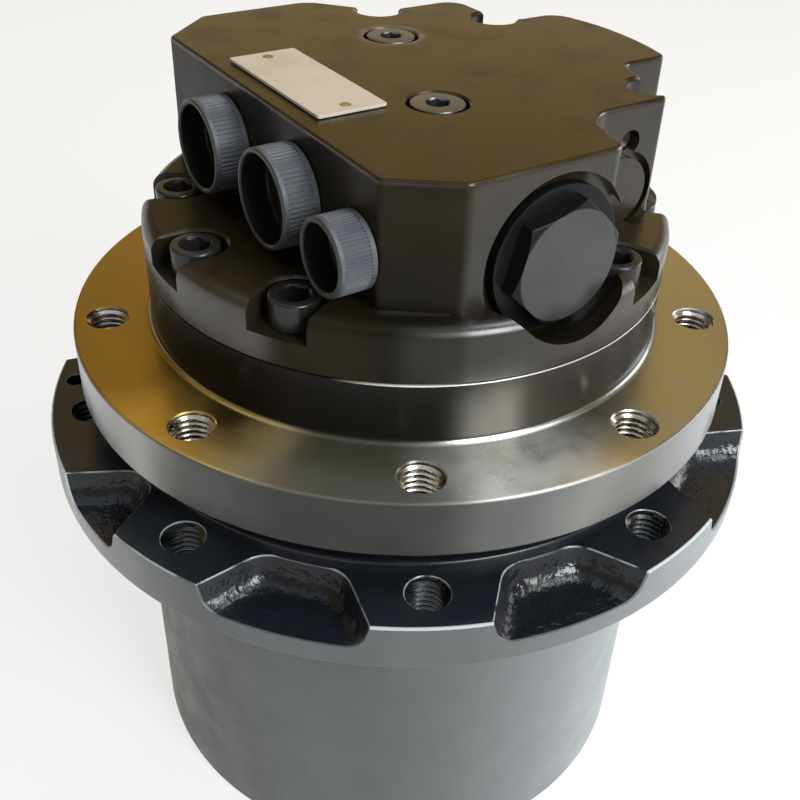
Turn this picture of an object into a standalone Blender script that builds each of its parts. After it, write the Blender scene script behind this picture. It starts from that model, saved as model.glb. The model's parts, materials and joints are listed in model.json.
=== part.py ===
"""Planetary track drive with a flange-mounted axial piston motor.

Metres, +Z up. The origin lies on the turning axis, under the rim of the hub drum. The valve block's long
sides run along Y and its ports open towards -X.
"""

import math

import bmesh
import bpy
from mathutils import Matrix, Vector

# Clearances and cuts
SEAT_GAP = 0.0003
RUNNING_GAP = 0.0010
OVERRUN = 0.0040
MERGE_DISTANCE = 0.00001

# Facets round a turned piece
OUTER_STEPS = 32
INNER_STEPS = 20
CAP_STEPS = 16
SMALL_STEPS = 12
TINY_STEPS = 8
BALL_STEPS = 6
EDGE_ANGLE = math.radians(35)

# Gear train, teeth and their shape
MODULE = 0.0030
PRESSURE_ANGLE = math.radians(20)
ADDENDUM_SHARE = 0.8
DEDENDUM_SHARE = 1.0
BACKLASH = 0.00034
RING_TEETH = 45
STAGE1_SUN_TEETH = 9
STAGE1_PLANET_TEETH = 18
STAGE1_PLANETS = 3
STAGE2_SUN_TEETH = 15
STAGE2_PLANET_TEETH = 15
STAGE2_PLANETS = 3

# Drum mouth, end cover and its snap ring
RIM_LIP = 0.0027
RIM_ROUND = 0.0020
SNAP_RING_THICKNESS = 0.0025
SNAP_RING_WIDTH = 0.0055
SNAP_RING_GROOVE = 0.0030
SNAP_RING_MOUTH = 0.0180
COVER_LAND = 0.0040
COVER_THICKNESS = 0.0080
COVER_STEP_HEIGHT = 0.0020
COVER_STEP_RADIUS = 0.0560
THRUST_PAD_RADIUS = 0.0090
OIL_PLUG_RADIUS = 0.0080
OIL_PLUG_CIRCLE = 0.0380
OIL_PLUG_SOCKET = 0.0046
OIL_PLUG_SOCKET_DEPTH = 0.0040

# Gear widths and the walls between the stages
STAGE1_FLOOR_GAP = 0.0042
STAGE1_WIDTH = 0.0140
CARRIER1_THICKNESS = 0.0080
CARRIER1_RADIUS = 0.0590
STAGE2_FLOOR_GAP = 0.0015
STAGE2_WIDTH = 0.0220
CARRIER2_THICKNESS = 0.0100
CARRIER2_RADIUS = 0.0600
PLANET_PIN_RADIUS = 0.0097
PLANET_BORE_SHOULDER = 0.0010
RING_RELIEF_HEIGHT = 0.0040
RING_RELIEF_DEPTH = 0.0010
DRUM_WALL = 0.0159
RING_PITCH = MODULE * RING_TEETH / 2
RING_ROOT = RING_PITCH + MODULE * DEDENDUM_SHARE
RING_TIP = RING_PITCH - MODULE * ADDENDUM_SHARE
DRUM_RADIUS = RING_ROOT + DRUM_WALL

# Sun gears, their shafts and splines
SHAFT_STUB_RADIUS = 0.0085
SUN2_BORE = 0.0110
SUN2_STUB_RADIUS = 0.0170
COUPLING_RADIUS = 0.0140
COUPLING_GRIP = 0.0075
CARRIER_SPIGOT_RADIUS = 0.0297
CARRIER_SPIGOT_HEIGHT = 0.0057
SPLINE_DEPTH = 0.0020
SPLINE_COUNT = 8

# Main bearings, two angular contact ball bearings
BEARING_BORE = 0.0450
BEARING_OUTSIDE = 0.0625
BEARING_WIDTH = 0.0180
BEARING_SPREAD = 0.0051
BALL_RADIUS = 0.0046
BALL_COUNT = 10
RACE_LIP = 0.0024
CAGE_WALL = 0.0024
CAGE_HEIGHT = 0.0014
BEARING_NUT_HEIGHT = 0.0070
BEARING_NUT_WALL = 0.0110
NUT_SLOTS = 4
NUT_SLOT_WIDTH = 0.0060
NUT_SLOT_DEPTH = 0.0030
THREAD_STEP = 0.0012

# Floating face seal between hub and casing
SEAL_POCKET_STEP = 0.0135
SEAL_POCKET_RADIUS = BEARING_OUTSIDE + SEAL_POCKET_STEP
SEAL_POCKET_DEPTH = 0.0101
SEAL_GAP_HEIGHT = 0.0100
SEAL_RING_WALL = 0.0090
SEAL_FACE_WALL = 0.0040
SEAL_TOE_HEIGHT = 0.0040
SKIRT_GAP = 0.0030
SKIRT_WALL = 0.0070

# Sprocket flange of the hub
HUB_FLANGE_OVERHANG = 0.0246
HUB_FLANGE_RADIUS = DRUM_RADIUS + HUB_FLANGE_OVERHANG
HUB_FLANGE_THICKNESS = 0.0146
HUB_NOSE_WALL = 0.0160
HUB_NOSE_RADIUS = SEAL_POCKET_RADIUS + HUB_NOSE_WALL
HUB_NOSE_HEIGHT = 0.0035
HUB_EDGE = 0.0010
HUB_BOLT_INSET = 0.0120
HUB_BOLT_CIRCLE = HUB_FLANGE_RADIUS - HUB_BOLT_INSET
HUB_BOLTS = 9
HUB_BOLT_START = math.radians(-118.6)
HUB_FILLET = 0.0020
POCKET_DEPTH = 0.0081
POCKET_STEP = 0.0005
POCKET_INNER_RADIUS = HUB_NOSE_RADIUS + POCKET_STEP
POCKET_CORNER = 0.0055
POCKET_CORNER_SHARE = 0.75
POCKET_DRAFT = 0.0028
PAD_HALF_ANGLE = math.radians(8.1)
PAD_TAPER = math.radians(5.0)
WIDE_PAD_HALF_ANGLE = math.radians(15.9)
WIDE_PAD_INDEX = 7
BLEED_HOLE_RADIUS = 0.0030
BLEED_HOLE_INSET = 0.0060
BLEED_HOLE_CIRCLE = HUB_FLANGE_RADIUS - BLEED_HOLE_INSET
BLEED_HOLE_ANGLE = math.radians(-208.2)

# Threaded holes shared by both flanges, M12
FLANGE_HOLE_RADIUS = 0.0051

# Frame flange and collar of the motor casing
FRAME_OVERHANG = 0.0170
FRAME_FLANGE_RADIUS = SEAL_POCKET_RADIUS + SKIRT_WALL + FRAME_OVERHANG
FRAME_FLANGE_THICKNESS = 0.0174
FRAME_EDGE = 0.0008
FRAME_BOLT_INSET = 0.0100
FRAME_BOLT_CIRCLE = FRAME_FLANGE_RADIUS - FRAME_BOLT_INSET
FRAME_BOLTS = 9
COLLAR_HEIGHT = 0.0180
COLLAR_FOOT = 0.0016
NECK_RADIUS = 0.0620
NECK_SHOULDER = 0.0520
NECK_SHOULDER_HEIGHT = 0.0030
NECK_CONE_HEIGHT = 0.0110
SPINDLE_FLOOR = 0.0060

# Motor chamber and what turns in it
CHAMBER_RADIUS = 0.0370
SHAFT_BEARING_RADIUS = 0.0200
SHAFT_BEARING_WIDTH = 0.0100
SHAFT_RADIUS = 0.0095
SWASH_BED = 0.0020
SWASH_THICKNESS = 0.0120
SWASH_BORE = 0.0130
PISTONS = 7
PISTON_CIRCLE = 0.0210
PISTON_RADIUS = 0.0054
PISTON_NECK = 0.0035
PISTON_LENGTH = 0.0300
SLIPPER_RADIUS = 0.0070
SLIPPER_HEIGHT = 0.0036
SLIPPER_REACH = 0.0026
BLOCK_RADIUS = 0.0330
BLOCK_LENGTH = 0.0475
BLOCK_BORE_LENGTH = 0.0340
BLOCK_SPLINE_RADIUS = 0.0107
VALVE_PLATE_THICKNESS = 0.0050
REAR_BEARING_RADIUS = 0.0140
REAR_BEARING_WIDTH = 0.0100
REAR_JOURNAL_RADIUS = 0.0080
REAR_POCKET_EXTRA = 0.0020

# Parking brake round the cylinder block
BRAKE_CHAMBER_RADIUS = 0.0550
COLLAR_WALL = 0.0221
COLLAR_RADIUS = BRAKE_CHAMBER_RADIUS + COLLAR_WALL
BRAKE_BORE = 0.0365
BRAKE_PLATE_THICKNESS = 0.0030
BRAKE_DISC_INSET = 0.0036
BRAKE_TRAVEL = 0.0012
BRAKE_ROOM = 0.0003
BRAKE_BED = 0.0150

# Rear cover with the valve block
COVER_FLANGE_RADIUS = COLLAR_RADIUS
COVER_FLANGE_HEIGHT = 0.0160
COVER_EDGE = 0.0020
BLOCK_HEIGHT = 0.0343
BLOCK_SINK = 0.0015
SPIGOT_RADIUS = 0.0355
COVER_BOLT_INSET = 0.0099
COVER_BOLT_CIRCLE = COVER_FLANGE_RADIUS - COVER_BOLT_INSET
COVER_BOLT_ANGLES = (180.0, -147.5, 147.5, -66.0, -33.0, 33.0, 66.0)
COVER_BOLT_HEAD = 0.0065
COVER_BOLT_HEAD_HEIGHT = 0.0077
COVER_BOLT_SHANK = 0.0040
COVER_BOLT_HOLE = 0.0045
COVER_BOLT_GRIP = 0.0140
COVER_BOLT_SOCKET = 0.0035
COVER_BOLT_SOCKET_DEPTH = 0.0040
BOLT_POCKET_RADIUS = 0.0085
BOLT_POCKET_RELIEF = 0.0006
BOLT_FLUTE_RADIUS = 0.0072

# Valve block outline: faces, lobes and notches seen from above
BLOCK_LEFT = -0.0440
BLOCK_FRONT = -0.0660
BLOCK_BACK = 0.0805
BLOCK_CORNER_CUT = 0.0170
BLOCK_CORNER_RUN = 0.0120
BOSS_RIGHT = 0.0190
BOSS_WAIST = 0.0223
BOSS_ROOT = -0.0523
FRONT_LOBE_LEFT = 0.0291
FRONT_LOBE_RIGHT = 0.0535
FRONT_LOBE_FACE = -0.0455
SIDE_LOBE_ROOT = 0.0578
SIDE_LOBE_FRONT = -0.0187
SIDE_LOBE_BACK = 0.0320
SIDE_LOBE_REACH = 0.0827
SIDE_LOBE_CORNER = 0.0035
SIDE_LOBE_RUN = 0.0150
BACK_LOBE_RIGHT = 0.0575
BACK_LOBE_FACE = 0.0600
BACK_LOBE_LEFT = 0.0290
BACK_BOSS_RIGHT = 0.0112
BACK_BOSS_LEFT = -0.0147
BACK_CORNER_CUT = 0.0155
BULGE_RADIUS = 0.0097
BULGE_OFFSET = 0.0180
BULGE_DROP = 0.0128
BULGE_LENGTH = 0.0196
BULGE_INSET = 0.0006

# Counterbalance spool across the block, and its end plugs
SPOOL_OFFSET = 0.0010
SPOOL_HEIGHT_SHARE = 0.248
SPOOL_RADIUS = 0.0107
SPOOL_WAIST = 0.0070
SPOOL_LENGTH = 0.0800
SPOOL_LANDS = 3
SPOOL_TRAVEL = 0.0050
PLUG_SPOTFACE = 0.0225
PLUG_SPOTFACE_DEPTH = 0.0030
PLUG_FLANGE = 0.0195
PLUG_THREAD = 0.0130
PLUG_THREAD_LENGTH = 0.0160
PLUG_POCKET = 0.0070
PLUG_POCKET_DEPTH = 0.0120
PLUG_HEX_FLATS = 0.0310
PLUG_HEX_TURN = math.radians(15)
PLUG_HEX_PROUD = 0.0052
PLUG_HEX_CHAMFER = 0.0020

# Port caps on the left face: place along Y, height above the cover flange, cap and stem radii
PORT_PLACES = ((0.0250, 0.0155), (-0.0145, 0.0155), (-0.0450, 0.0130))
PORT_CAP_RADII = (0.01325, 0.01325, 0.0100)
PORT_CAP_PROUD = 0.0105
PORT_CAP_WALL = 0.0016
PORT_CAP_FLOOR = 0.0025
PORT_STEM_SHARE = 0.72
PORT_STEM_LENGTH = 0.0090
PORT_DEPTH = 0.0180
PORT_PASSAGE = 0.0045

# Plugs and plate on top of the block
TOP_PLUG_PLACES = ((0.0160, 0.0356), (-0.0045, -0.0197))
TOP_PLUG_RADIUS = 0.0075
TOP_PLUG_GROOVE = 0.0010
TOP_PLUG_LENGTH = 0.0090
TOP_PLUG_SOCKET = 0.0035
TOP_PLUG_SOCKET_DEPTH = 0.0045
PLATE_SIZE = (0.0205, 0.0515, 0.0008)
PLATE_CENTRE = (-0.02825, 0.00925)
PLATE_RIVET_RADIUS = 0.0016
PLATE_RIVET_PROUD = 0.0005
PLATE_RIVET_INSET = 0.0040

# Heights up the stack, each from the one below it
SNAP_RING_BOTTOM = RIM_LIP + SEAT_GAP
COVER_BOTTOM = SNAP_RING_BOTTOM + SNAP_RING_THICKNESS + SEAT_GAP
COVER_TOP = COVER_BOTTOM + COVER_THICKNESS
RING_BOTTOM = COVER_TOP + SEAT_GAP
STAGE1_BOTTOM = COVER_TOP + STAGE1_FLOOR_GAP
STAGE1_TOP = STAGE1_BOTTOM + STAGE1_WIDTH
CARRIER1_BOTTOM = STAGE1_TOP + RUNNING_GAP
CARRIER1_TOP = CARRIER1_BOTTOM + CARRIER1_THICKNESS
STAGE2_BOTTOM = CARRIER1_TOP + STAGE2_FLOOR_GAP
STAGE2_TOP = STAGE2_BOTTOM + STAGE2_WIDTH
CARRIER2_BOTTOM = STAGE2_TOP + RUNNING_GAP
CARRIER2_TOP = CARRIER2_BOTTOM + CARRIER2_THICKNESS
RING_TOP = STAGE2_TOP + 2 * RUNNING_GAP
RELIEF_TOP = RING_TOP + RING_RELIEF_HEIGHT
SPINDLE_BOTTOM = CARRIER2_TOP + SEAT_GAP
NUT_BOTTOM = CARRIER2_TOP + RUNNING_GAP
LOWER_BEARING = NUT_BOTTOM + BEARING_NUT_HEIGHT + SEAT_GAP
UPPER_BEARING = LOWER_BEARING + BEARING_WIDTH + BEARING_SPREAD
BEARING_TOP = UPPER_BEARING + BEARING_WIDTH
SHOULDER_BOTTOM = BEARING_TOP + SEAT_GAP
SEAL_FLOOR = SHOULDER_BOTTOM + RUNNING_GAP
NOSE_TOP = SEAL_FLOOR + SEAL_POCKET_DEPTH
HUB_FLANGE_TOP = NOSE_TOP - HUB_NOSE_HEIGHT
HUB_FLANGE_BOTTOM = HUB_FLANGE_TOP - HUB_FLANGE_THICKNESS
FRAME_BOTTOM = NOSE_TOP + SEAL_GAP_HEIGHT
FRAME_TOP = FRAME_BOTTOM + FRAME_FLANGE_THICKNESS
JOINT_HEIGHT = FRAME_TOP + COLLAR_HEIGHT
COVER_FLANGE_BOTTOM = JOINT_HEIGHT + SEAT_GAP
COVER_FLANGE_TOP = JOINT_HEIGHT + COVER_FLANGE_HEIGHT
BLOCK_TOP = COVER_FLANGE_TOP + BLOCK_HEIGHT
SPOOL_HEIGHT = COVER_FLANGE_TOP + BLOCK_HEIGHT * SPOOL_HEIGHT_SHARE
POCKET_FLOOR = COVER_FLANGE_TOP - COVER_BOLT_HEAD_HEIGHT - SEAT_GAP

# Radii that follow the gears
COVER_RADIUS = RING_ROOT + COVER_LAND
STAGE1_CENTRES = MODULE * (STAGE1_SUN_TEETH + STAGE1_PLANET_TEETH) / 2
STAGE2_CENTRES = MODULE * (STAGE2_SUN_TEETH + STAGE2_PLANET_TEETH) / 2
BALL_CIRCLE = (BEARING_BORE + BEARING_OUTSIDE) / 2
PLANET_BORE = (PLANET_PIN_RADIUS + SEAT_GAP) / math.cos(math.pi / SMALL_STEPS)

# Heights inside the motor
SHAFT_SEAT = SPINDLE_BOTTOM + CARRIER_SPIGOT_HEIGHT + SEAT_GAP + SPINDLE_FLOOR
SWASH_FLOOR = SHAFT_SEAT + SHAFT_BEARING_WIDTH + SWASH_BED
SWASH_TOP = SWASH_FLOOR + SEAT_GAP + SWASH_THICKNESS
SLIPPER_BOTTOM = SWASH_TOP + SEAT_GAP
BLOCK_BOTTOM = SLIPPER_BOTTOM + SLIPPER_HEIGHT + SLIPPER_REACH
ROTOR_TOP = BLOCK_BOTTOM + BLOCK_LENGTH
VALVE_PLATE_BOTTOM = ROTOR_TOP + SEAT_GAP
SPIGOT_BOTTOM = VALVE_PLATE_BOTTOM + VALVE_PLATE_THICKNESS + SEAT_GAP
REAR_POCKET_TOP = SPIGOT_BOTTOM + REAR_BEARING_WIDTH + REAR_POCKET_EXTRA
BRAKE_FLOOR = ROTOR_TOP - BRAKE_BED
BRAKE_PLATE_BOTTOM = BRAKE_FLOOR + SEAT_GAP
BRAKE_DISC_BOTTOM = BRAKE_PLATE_BOTTOM + BRAKE_PLATE_THICKNESS + SEAT_GAP
BRAKE_PISTON_BOTTOM = BRAKE_DISC_BOTTOM + BRAKE_PLATE_THICKNESS + SEAT_GAP
BRAKE_PISTON_TOP = COVER_FLANGE_BOTTOM - BRAKE_TRAVEL - BRAKE_ROOM
SHAFT_MEETING = CARRIER2_TOP + (SHAFT_SEAT - CARRIER2_TOP) / 2 - COUPLING_GRIP / 2

# Colours, linear, with roughness and metallic value
FINISHES = {
    "black_paint": ((0.020, 0.018, 0.014), 0.35, 0.0),
    "hub_paint": ((0.022, 0.025, 0.032), 0.45, 0.0),
    "turned_steel": ((0.42, 0.40, 0.34), 0.30, 1.0),
    "ground_steel": ((0.55, 0.55, 0.56), 0.25, 1.0),
    "black_oxide": ((0.045, 0.045, 0.045), 0.40, 0.8),
    "plug_steel": ((0.24, 0.24, 0.23), 0.38, 1.0),
    "black_plastic": ((0.018, 0.018, 0.017), 0.42, 0.0),
    "plate_metal": ((0.72, 0.68, 0.60), 0.40, 0.6),
    "bronze": ((0.42, 0.26, 0.10), 0.40, 1.0),
    "friction": ((0.16, 0.11, 0.07), 0.85, 0.0),
}


def clear_scene():
    """Removes every object that the new file holds."""
    for found in list(bpy.data.objects):
        bpy.data.objects.remove(found, do_unlink=True)


def new_collection(name):
    collection = bpy.data.collections.new(name)
    bpy.context.scene.collection.children.link(collection)
    return collection


def make_material(name, finish):
    colour, roughness, metallic = FINISHES[finish]
    material = bpy.data.materials.new(name)
    material.use_nodes = True
    shader = material.node_tree.nodes["Principled BSDF"]
    shader.inputs["Base Color"].default_value = (*colour, 1.0)
    shader.inputs["Roughness"].default_value = roughness
    shader.inputs["Metallic"].default_value = metallic
    material.diffuse_color = (*colour, 1.0)
    return material


def on_circle(radius, angle):
    return radius * math.cos(angle), radius * math.sin(angle)


def spread(count, start=0.0):
    """Angles of a full pattern."""
    return [start + 2 * math.pi * index / count for index in range(count)]


def arc(centre, radius, first, last, steps):
    """Points along an arc, both ends included."""
    turns = [first + (last - first) * index / steps for index in range(steps + 1)]
    return [(centre[0] + radius * math.cos(a), centre[1] + radius * math.sin(a)) for a in turns]


class Workshop:
    """Makes pieces and cutters and keeps them in their collections."""

    def __init__(self):
        self.parts = new_collection("final_drive")
        self.cutters = new_collection("cutters")
        self.cut_count = 0

    def add(self, name, mesh, cutter=False):
        made = bpy.data.objects.new(name, mesh)
        if cutter:
            made.hide_render = True
            made.display_type = "WIRE"
            self.cutters.objects.link(made)
        else:
            self.parts.objects.link(made)
        return made

    def finish(self, made, finish):
        made.data.materials.clear()
        made.data.materials.append(make_material(made.name, finish))
        return made

    def cutter_name(self):
        self.cut_count += 1
        return f"cutter_{self.cut_count:03d}"

    def from_bmesh(self, name, bm, cutter=False):
        bmesh.ops.recalc_face_normals(bm, faces=bm.faces)
        mesh = bpy.data.meshes.new(name)
        bm.to_mesh(mesh)
        bm.free()
        return self.add(name, mesh, cutter)

    def turned(self, name, profile, steps, cutter=False):
        """A profile of (radius, height) points, spun about Z. Closed unless it starts and ends on the axis."""
        mesh = bpy.data.meshes.new(name)
        points = [(radius, 0.0, height) for radius, height in profile]
        edges = [(index, index + 1) for index in range(len(points) - 1)]
        if profile[0][0] > 0:
            edges.append((len(points) - 1, 0))
        mesh.from_pydata(points, edges, [])
        made = self.add(name, mesh, cutter)
        screw = made.modifiers.new("turn", "SCREW")
        screw.steps = steps
        screw.render_steps = steps
        screw.use_merge_vertices = True
        screw.merge_threshold = MERGE_DISTANCE
        screw.use_smooth_shade = True
        baked = self.evaluated_mesh(made)
        made.modifiers.clear()
        made.data = baked
        bpy.data.meshes.remove(mesh)
        baked.name = name
        baked.shade_smooth()
        baked.set_sharp_from_angle(angle=EDGE_ANGLE)
        return made

    def evaluated_mesh(self, made):
        bpy.context.view_layer.update()
        graph = bpy.context.evaluated_depsgraph_get()
        return bpy.data.meshes.new_from_object(made.evaluated_get(graph))

    def prism(self, name, outline, bottom, top, cutter=False):
        """A closed outline of (x, y) points as a flat curve, given its thickness along Z."""
        curve = bpy.data.curves.new(name, "CURVE")
        curve.dimensions = "2D"
        curve.fill_mode = "BOTH"
        curve.extrude = (top - bottom) / 2
        spline = curve.splines.new("POLY")
        spline.points.add(len(outline) - 1)
        for point, (x, y) in zip(spline.points, outline):
            point.co = (x, y, 0.0, 1.0)
        spline.use_cyclic_u = True
        flat = self.add(name + "_outline", curve, cutter=True)
        mesh = self.evaluated_mesh(flat)
        bpy.data.objects.remove(flat)
        bpy.data.curves.remove(curve)
        bm = bmesh.new()
        bm.from_mesh(mesh)
        bpy.data.meshes.remove(mesh)
        bmesh.ops.remove_doubles(bm, verts=bm.verts, dist=MERGE_DISTANCE)
        bmesh.ops.translate(bm, verts=bm.verts, vec=(0.0, 0.0, (top + bottom) / 2))
        return self.from_bmesh(name, bm, cutter)

    def rods(self, radius, length, places, segments, tip_radius=None, name=None):
        """One cutter, or one rod, for each matrix in places, with its base at the matrix and its length along +Z."""
        bm = bmesh.new()
        for place in places:
            lift = Matrix.Translation((0.0, 0.0, length / 2))
            top_radius = radius if tip_radius is None else tip_radius
            bmesh.ops.create_cone(
                bm, cap_ends=True, segments=segments, radius1=radius, radius2=top_radius,
                depth=length, matrix=place @ lift,
            )
        return self.from_bmesh(name or self.cutter_name(), bm, cutter=name is None)

    def block(self, low, high, turn=None, name=None):
        """A box between two corners."""
        bm = bmesh.new()
        size = Vector(high) - Vector(low)
        centre = (Vector(high) + Vector(low)) / 2
        place = Matrix.Translation(centre) @ Matrix.Diagonal((*size, 1.0))
        bmesh.ops.create_cube(bm, size=1.0, matrix=place if turn is None else turn @ place)
        return self.from_bmesh(name or self.cutter_name(), bm, cutter=name is None)

    def apply(self, made, tool, operation):
        """Runs one Boolean, keeps its result and puts the tool away."""
        step = made.modifiers.new(operation.lower(), "BOOLEAN")
        step.operation = operation
        step.solver = "EXACT"
        step.object = tool
        mesh = self.evaluated_mesh(made)
        made.modifiers.clear()
        old = made.data
        made.data = mesh
        bpy.data.meshes.remove(old)
        bpy.data.objects.remove(tool)
        bm = bmesh.new()
        bm.from_mesh(mesh)
        bmesh.ops.dissolve_degenerate(bm, edges=bm.edges, dist=MERGE_DISTANCE)
        bm.to_mesh(mesh)
        bm.free()
        mesh.name = made.name
        mesh.shade_smooth()
        mesh.set_sharp_from_angle(angle=EDGE_ANGLE)
        return made

    def cut(self, made, tool):
        return self.apply(made, tool, "DIFFERENCE")

    def join(self, made, tool):
        return self.apply(made, tool, "UNION")


def facing(place, direction):
    """A matrix at a place whose +Z points along a direction."""
    turn = Vector((0.0, 0.0, 1.0)).rotation_difference(Vector(direction)).to_matrix().to_4x4()
    return Matrix.Translation(place) @ turn


def upright(x, y, z):
    return Matrix.Translation((x, y, z))


def involute(angle):
    return math.tan(angle) - angle


def tooth_half_angle(teeth, radius, slack):
    """Half the angle that an involute tooth spans at a radius. slack thins it by that length at the pitch circle."""
    pitch = MODULE * teeth / 2
    base = pitch * math.cos(PRESSURE_ANGLE)
    here = math.acos(min(1.0, base / radius))
    full = math.pi / (2 * teeth) - slack / (2 * pitch)
    return full + involute(PRESSURE_ANGLE) - involute(here)


def gear_outline(teeth, phase):
    """Outline of an external gear with a tooth centred on the phase angle: root, pitch and tip on each flank."""
    pitch = MODULE * teeth / 2
    radii = (pitch - MODULE * DEDENDUM_SHARE, pitch, pitch + MODULE * ADDENDUM_SHARE)
    outline = []
    for angle in spread(teeth, phase):
        rising = [(radius, -tooth_half_angle(teeth, radius, BACKLASH)) for radius in radii]
        falling = [(radius, -offset) for radius, offset in reversed(rising)]
        outline += [on_circle(radius, angle + offset) for radius, offset in rising + falling]
    return outline


def ring_void_outline():
    """Outline of the space inside the ring gear. The ring's own tooth is centred on +X."""
    outline = []
    for angle in spread(RING_TEETH, math.pi / RING_TEETH):
        rising = [(radius, -tooth_half_angle(RING_TEETH, radius, -BACKLASH)) for radius in (RING_TIP, RING_ROOT)]
        falling = [(radius, -offset) for radius, offset in reversed(rising)]
        outline += [on_circle(radius, angle + offset) for radius, offset in rising + falling]
    return outline


def planet_phase(teeth, place):
    """Turns a planet at an angle on its circle so that its gap takes the ring's tooth."""
    return place - (RING_TEETH * place - math.pi) / teeth


def sun_phase(sun_teeth, planet_teeth):
    """Turns a sun so that it meets all its planets."""
    return math.pi * (planet_teeth - 2) / sun_teeth


def spline_outline(radius):
    """A round outline with flat-topped keys."""
    share = 2 * math.pi / SPLINE_COUNT / 4
    outline = []
    for angle in spread(SPLINE_COUNT):
        outline += [on_circle(radius, angle - share), on_circle(radius, angle + share)]
        valley = radius - SPLINE_DEPTH
        outline += [on_circle(valley, angle + share), on_circle(valley, angle + 3 * share)]
    return outline


def bolt_places(count, start, circle, height):
    return [upright(*on_circle(circle, angle), height) for angle in spread(count, start)]


def make_hub(shop):
    """Drum, ring gear, bearing seats and sprocket flange in one casting."""
    hub_outline = [
        (HUB_NOSE_RADIUS - HUB_EDGE, NOSE_TOP),
        (HUB_NOSE_RADIUS, NOSE_TOP - HUB_EDGE),
        (HUB_NOSE_RADIUS, HUB_FLANGE_TOP),
        (HUB_FLANGE_RADIUS - HUB_EDGE, HUB_FLANGE_TOP),
        (HUB_FLANGE_RADIUS, HUB_FLANGE_TOP - HUB_EDGE),
        (HUB_FLANGE_RADIUS, HUB_FLANGE_BOTTOM),
        (DRUM_RADIUS + HUB_FILLET, HUB_FLANGE_BOTTOM),
        (DRUM_RADIUS, HUB_FLANGE_BOTTOM - HUB_FILLET),
        (DRUM_RADIUS, RIM_ROUND),
        (DRUM_RADIUS - RIM_ROUND, 0.0),
        (0.0, 0.0),
    ]
    hub = shop.turned("hub_drum", [(0.0, NOSE_TOP)] + hub_outline, OUTER_STEPS)
    groove = COVER_RADIUS + SEAT_GAP + SNAP_RING_GROOVE
    seat = BEARING_OUTSIDE + SEAT_GAP
    middle = seat - RACE_LIP
    relief = RING_ROOT + RING_RELIEF_DEPTH
    bore = [
        (0.0, NOSE_TOP + OVERRUN),
        (SEAL_POCKET_RADIUS, NOSE_TOP + OVERRUN),
        (SEAL_POCKET_RADIUS, SEAL_FLOOR),
        (seat, SEAL_FLOOR),
        (seat, UPPER_BEARING - SEAT_GAP),
        (middle, UPPER_BEARING - SEAT_GAP),
        (middle, LOWER_BEARING + BEARING_WIDTH + SEAT_GAP),
        (seat, LOWER_BEARING + BEARING_WIDTH + SEAT_GAP),
        (seat, RELIEF_TOP + relief - seat),
        (relief, RELIEF_TOP),
        (relief, RING_TOP),
        (RING_TIP - RUNNING_GAP, RING_TOP),
        (RING_TIP - RUNNING_GAP, RING_BOTTOM - OVERRUN),
        (0.0, RING_BOTTOM - OVERRUN),
    ]
    shop.cut(hub, shop.turned(shop.cutter_name(), bore, INNER_STEPS, cutter=True))
    mouth = [
        (0.0, RING_BOTTOM),
        (COVER_RADIUS + SEAT_GAP, RING_BOTTOM),
        (COVER_RADIUS + SEAT_GAP, COVER_BOTTOM),
        (groove, COVER_BOTTOM),
        (groove, RIM_LIP),
        (COVER_RADIUS + SEAT_GAP, RIM_LIP),
        (COVER_RADIUS + SEAT_GAP, -OVERRUN),
        (0.0, -OVERRUN),
    ]
    shop.cut(hub, shop.turned(shop.cutter_name(), mouth, OUTER_STEPS, cutter=True))
    low = (RING_BOTTOM + COVER_BOTTOM) / 2
    high = (RING_TOP + RELIEF_TOP) / 2
    shop.cut(hub, shop.prism(shop.cutter_name(), ring_void_outline(), low, high, cutter=True))
    for pocket in pocket_cutters(shop):
        shop.cut(hub, pocket)
    depth = HUB_FLANGE_THICKNESS + 2 * OVERRUN
    holes = bolt_places(HUB_BOLTS, HUB_BOLT_START, HUB_BOLT_CIRCLE, HUB_FLANGE_BOTTOM - OVERRUN)
    shop.cut(hub, shop.rods(FLANGE_HOLE_RADIUS, depth, holes, TINY_STEPS))
    bleed = upright(*on_circle(BLEED_HOLE_CIRCLE, BLEED_HOLE_ANGLE), HUB_FLANGE_BOTTOM - OVERRUN)
    shop.cut(hub, shop.rods(BLEED_HOLE_RADIUS, depth, [bleed], TINY_STEPS))
    return shop.finish(hub, "hub_paint")


def pad_growth(radius):
    """How much further a pad's side stands out, as an angle, at a radius inside the rim."""
    return PAD_TAPER * (HUB_FLANGE_RADIUS - radius) / (HUB_FLANGE_RADIUS - POCKET_INNER_RADIUS)


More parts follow.
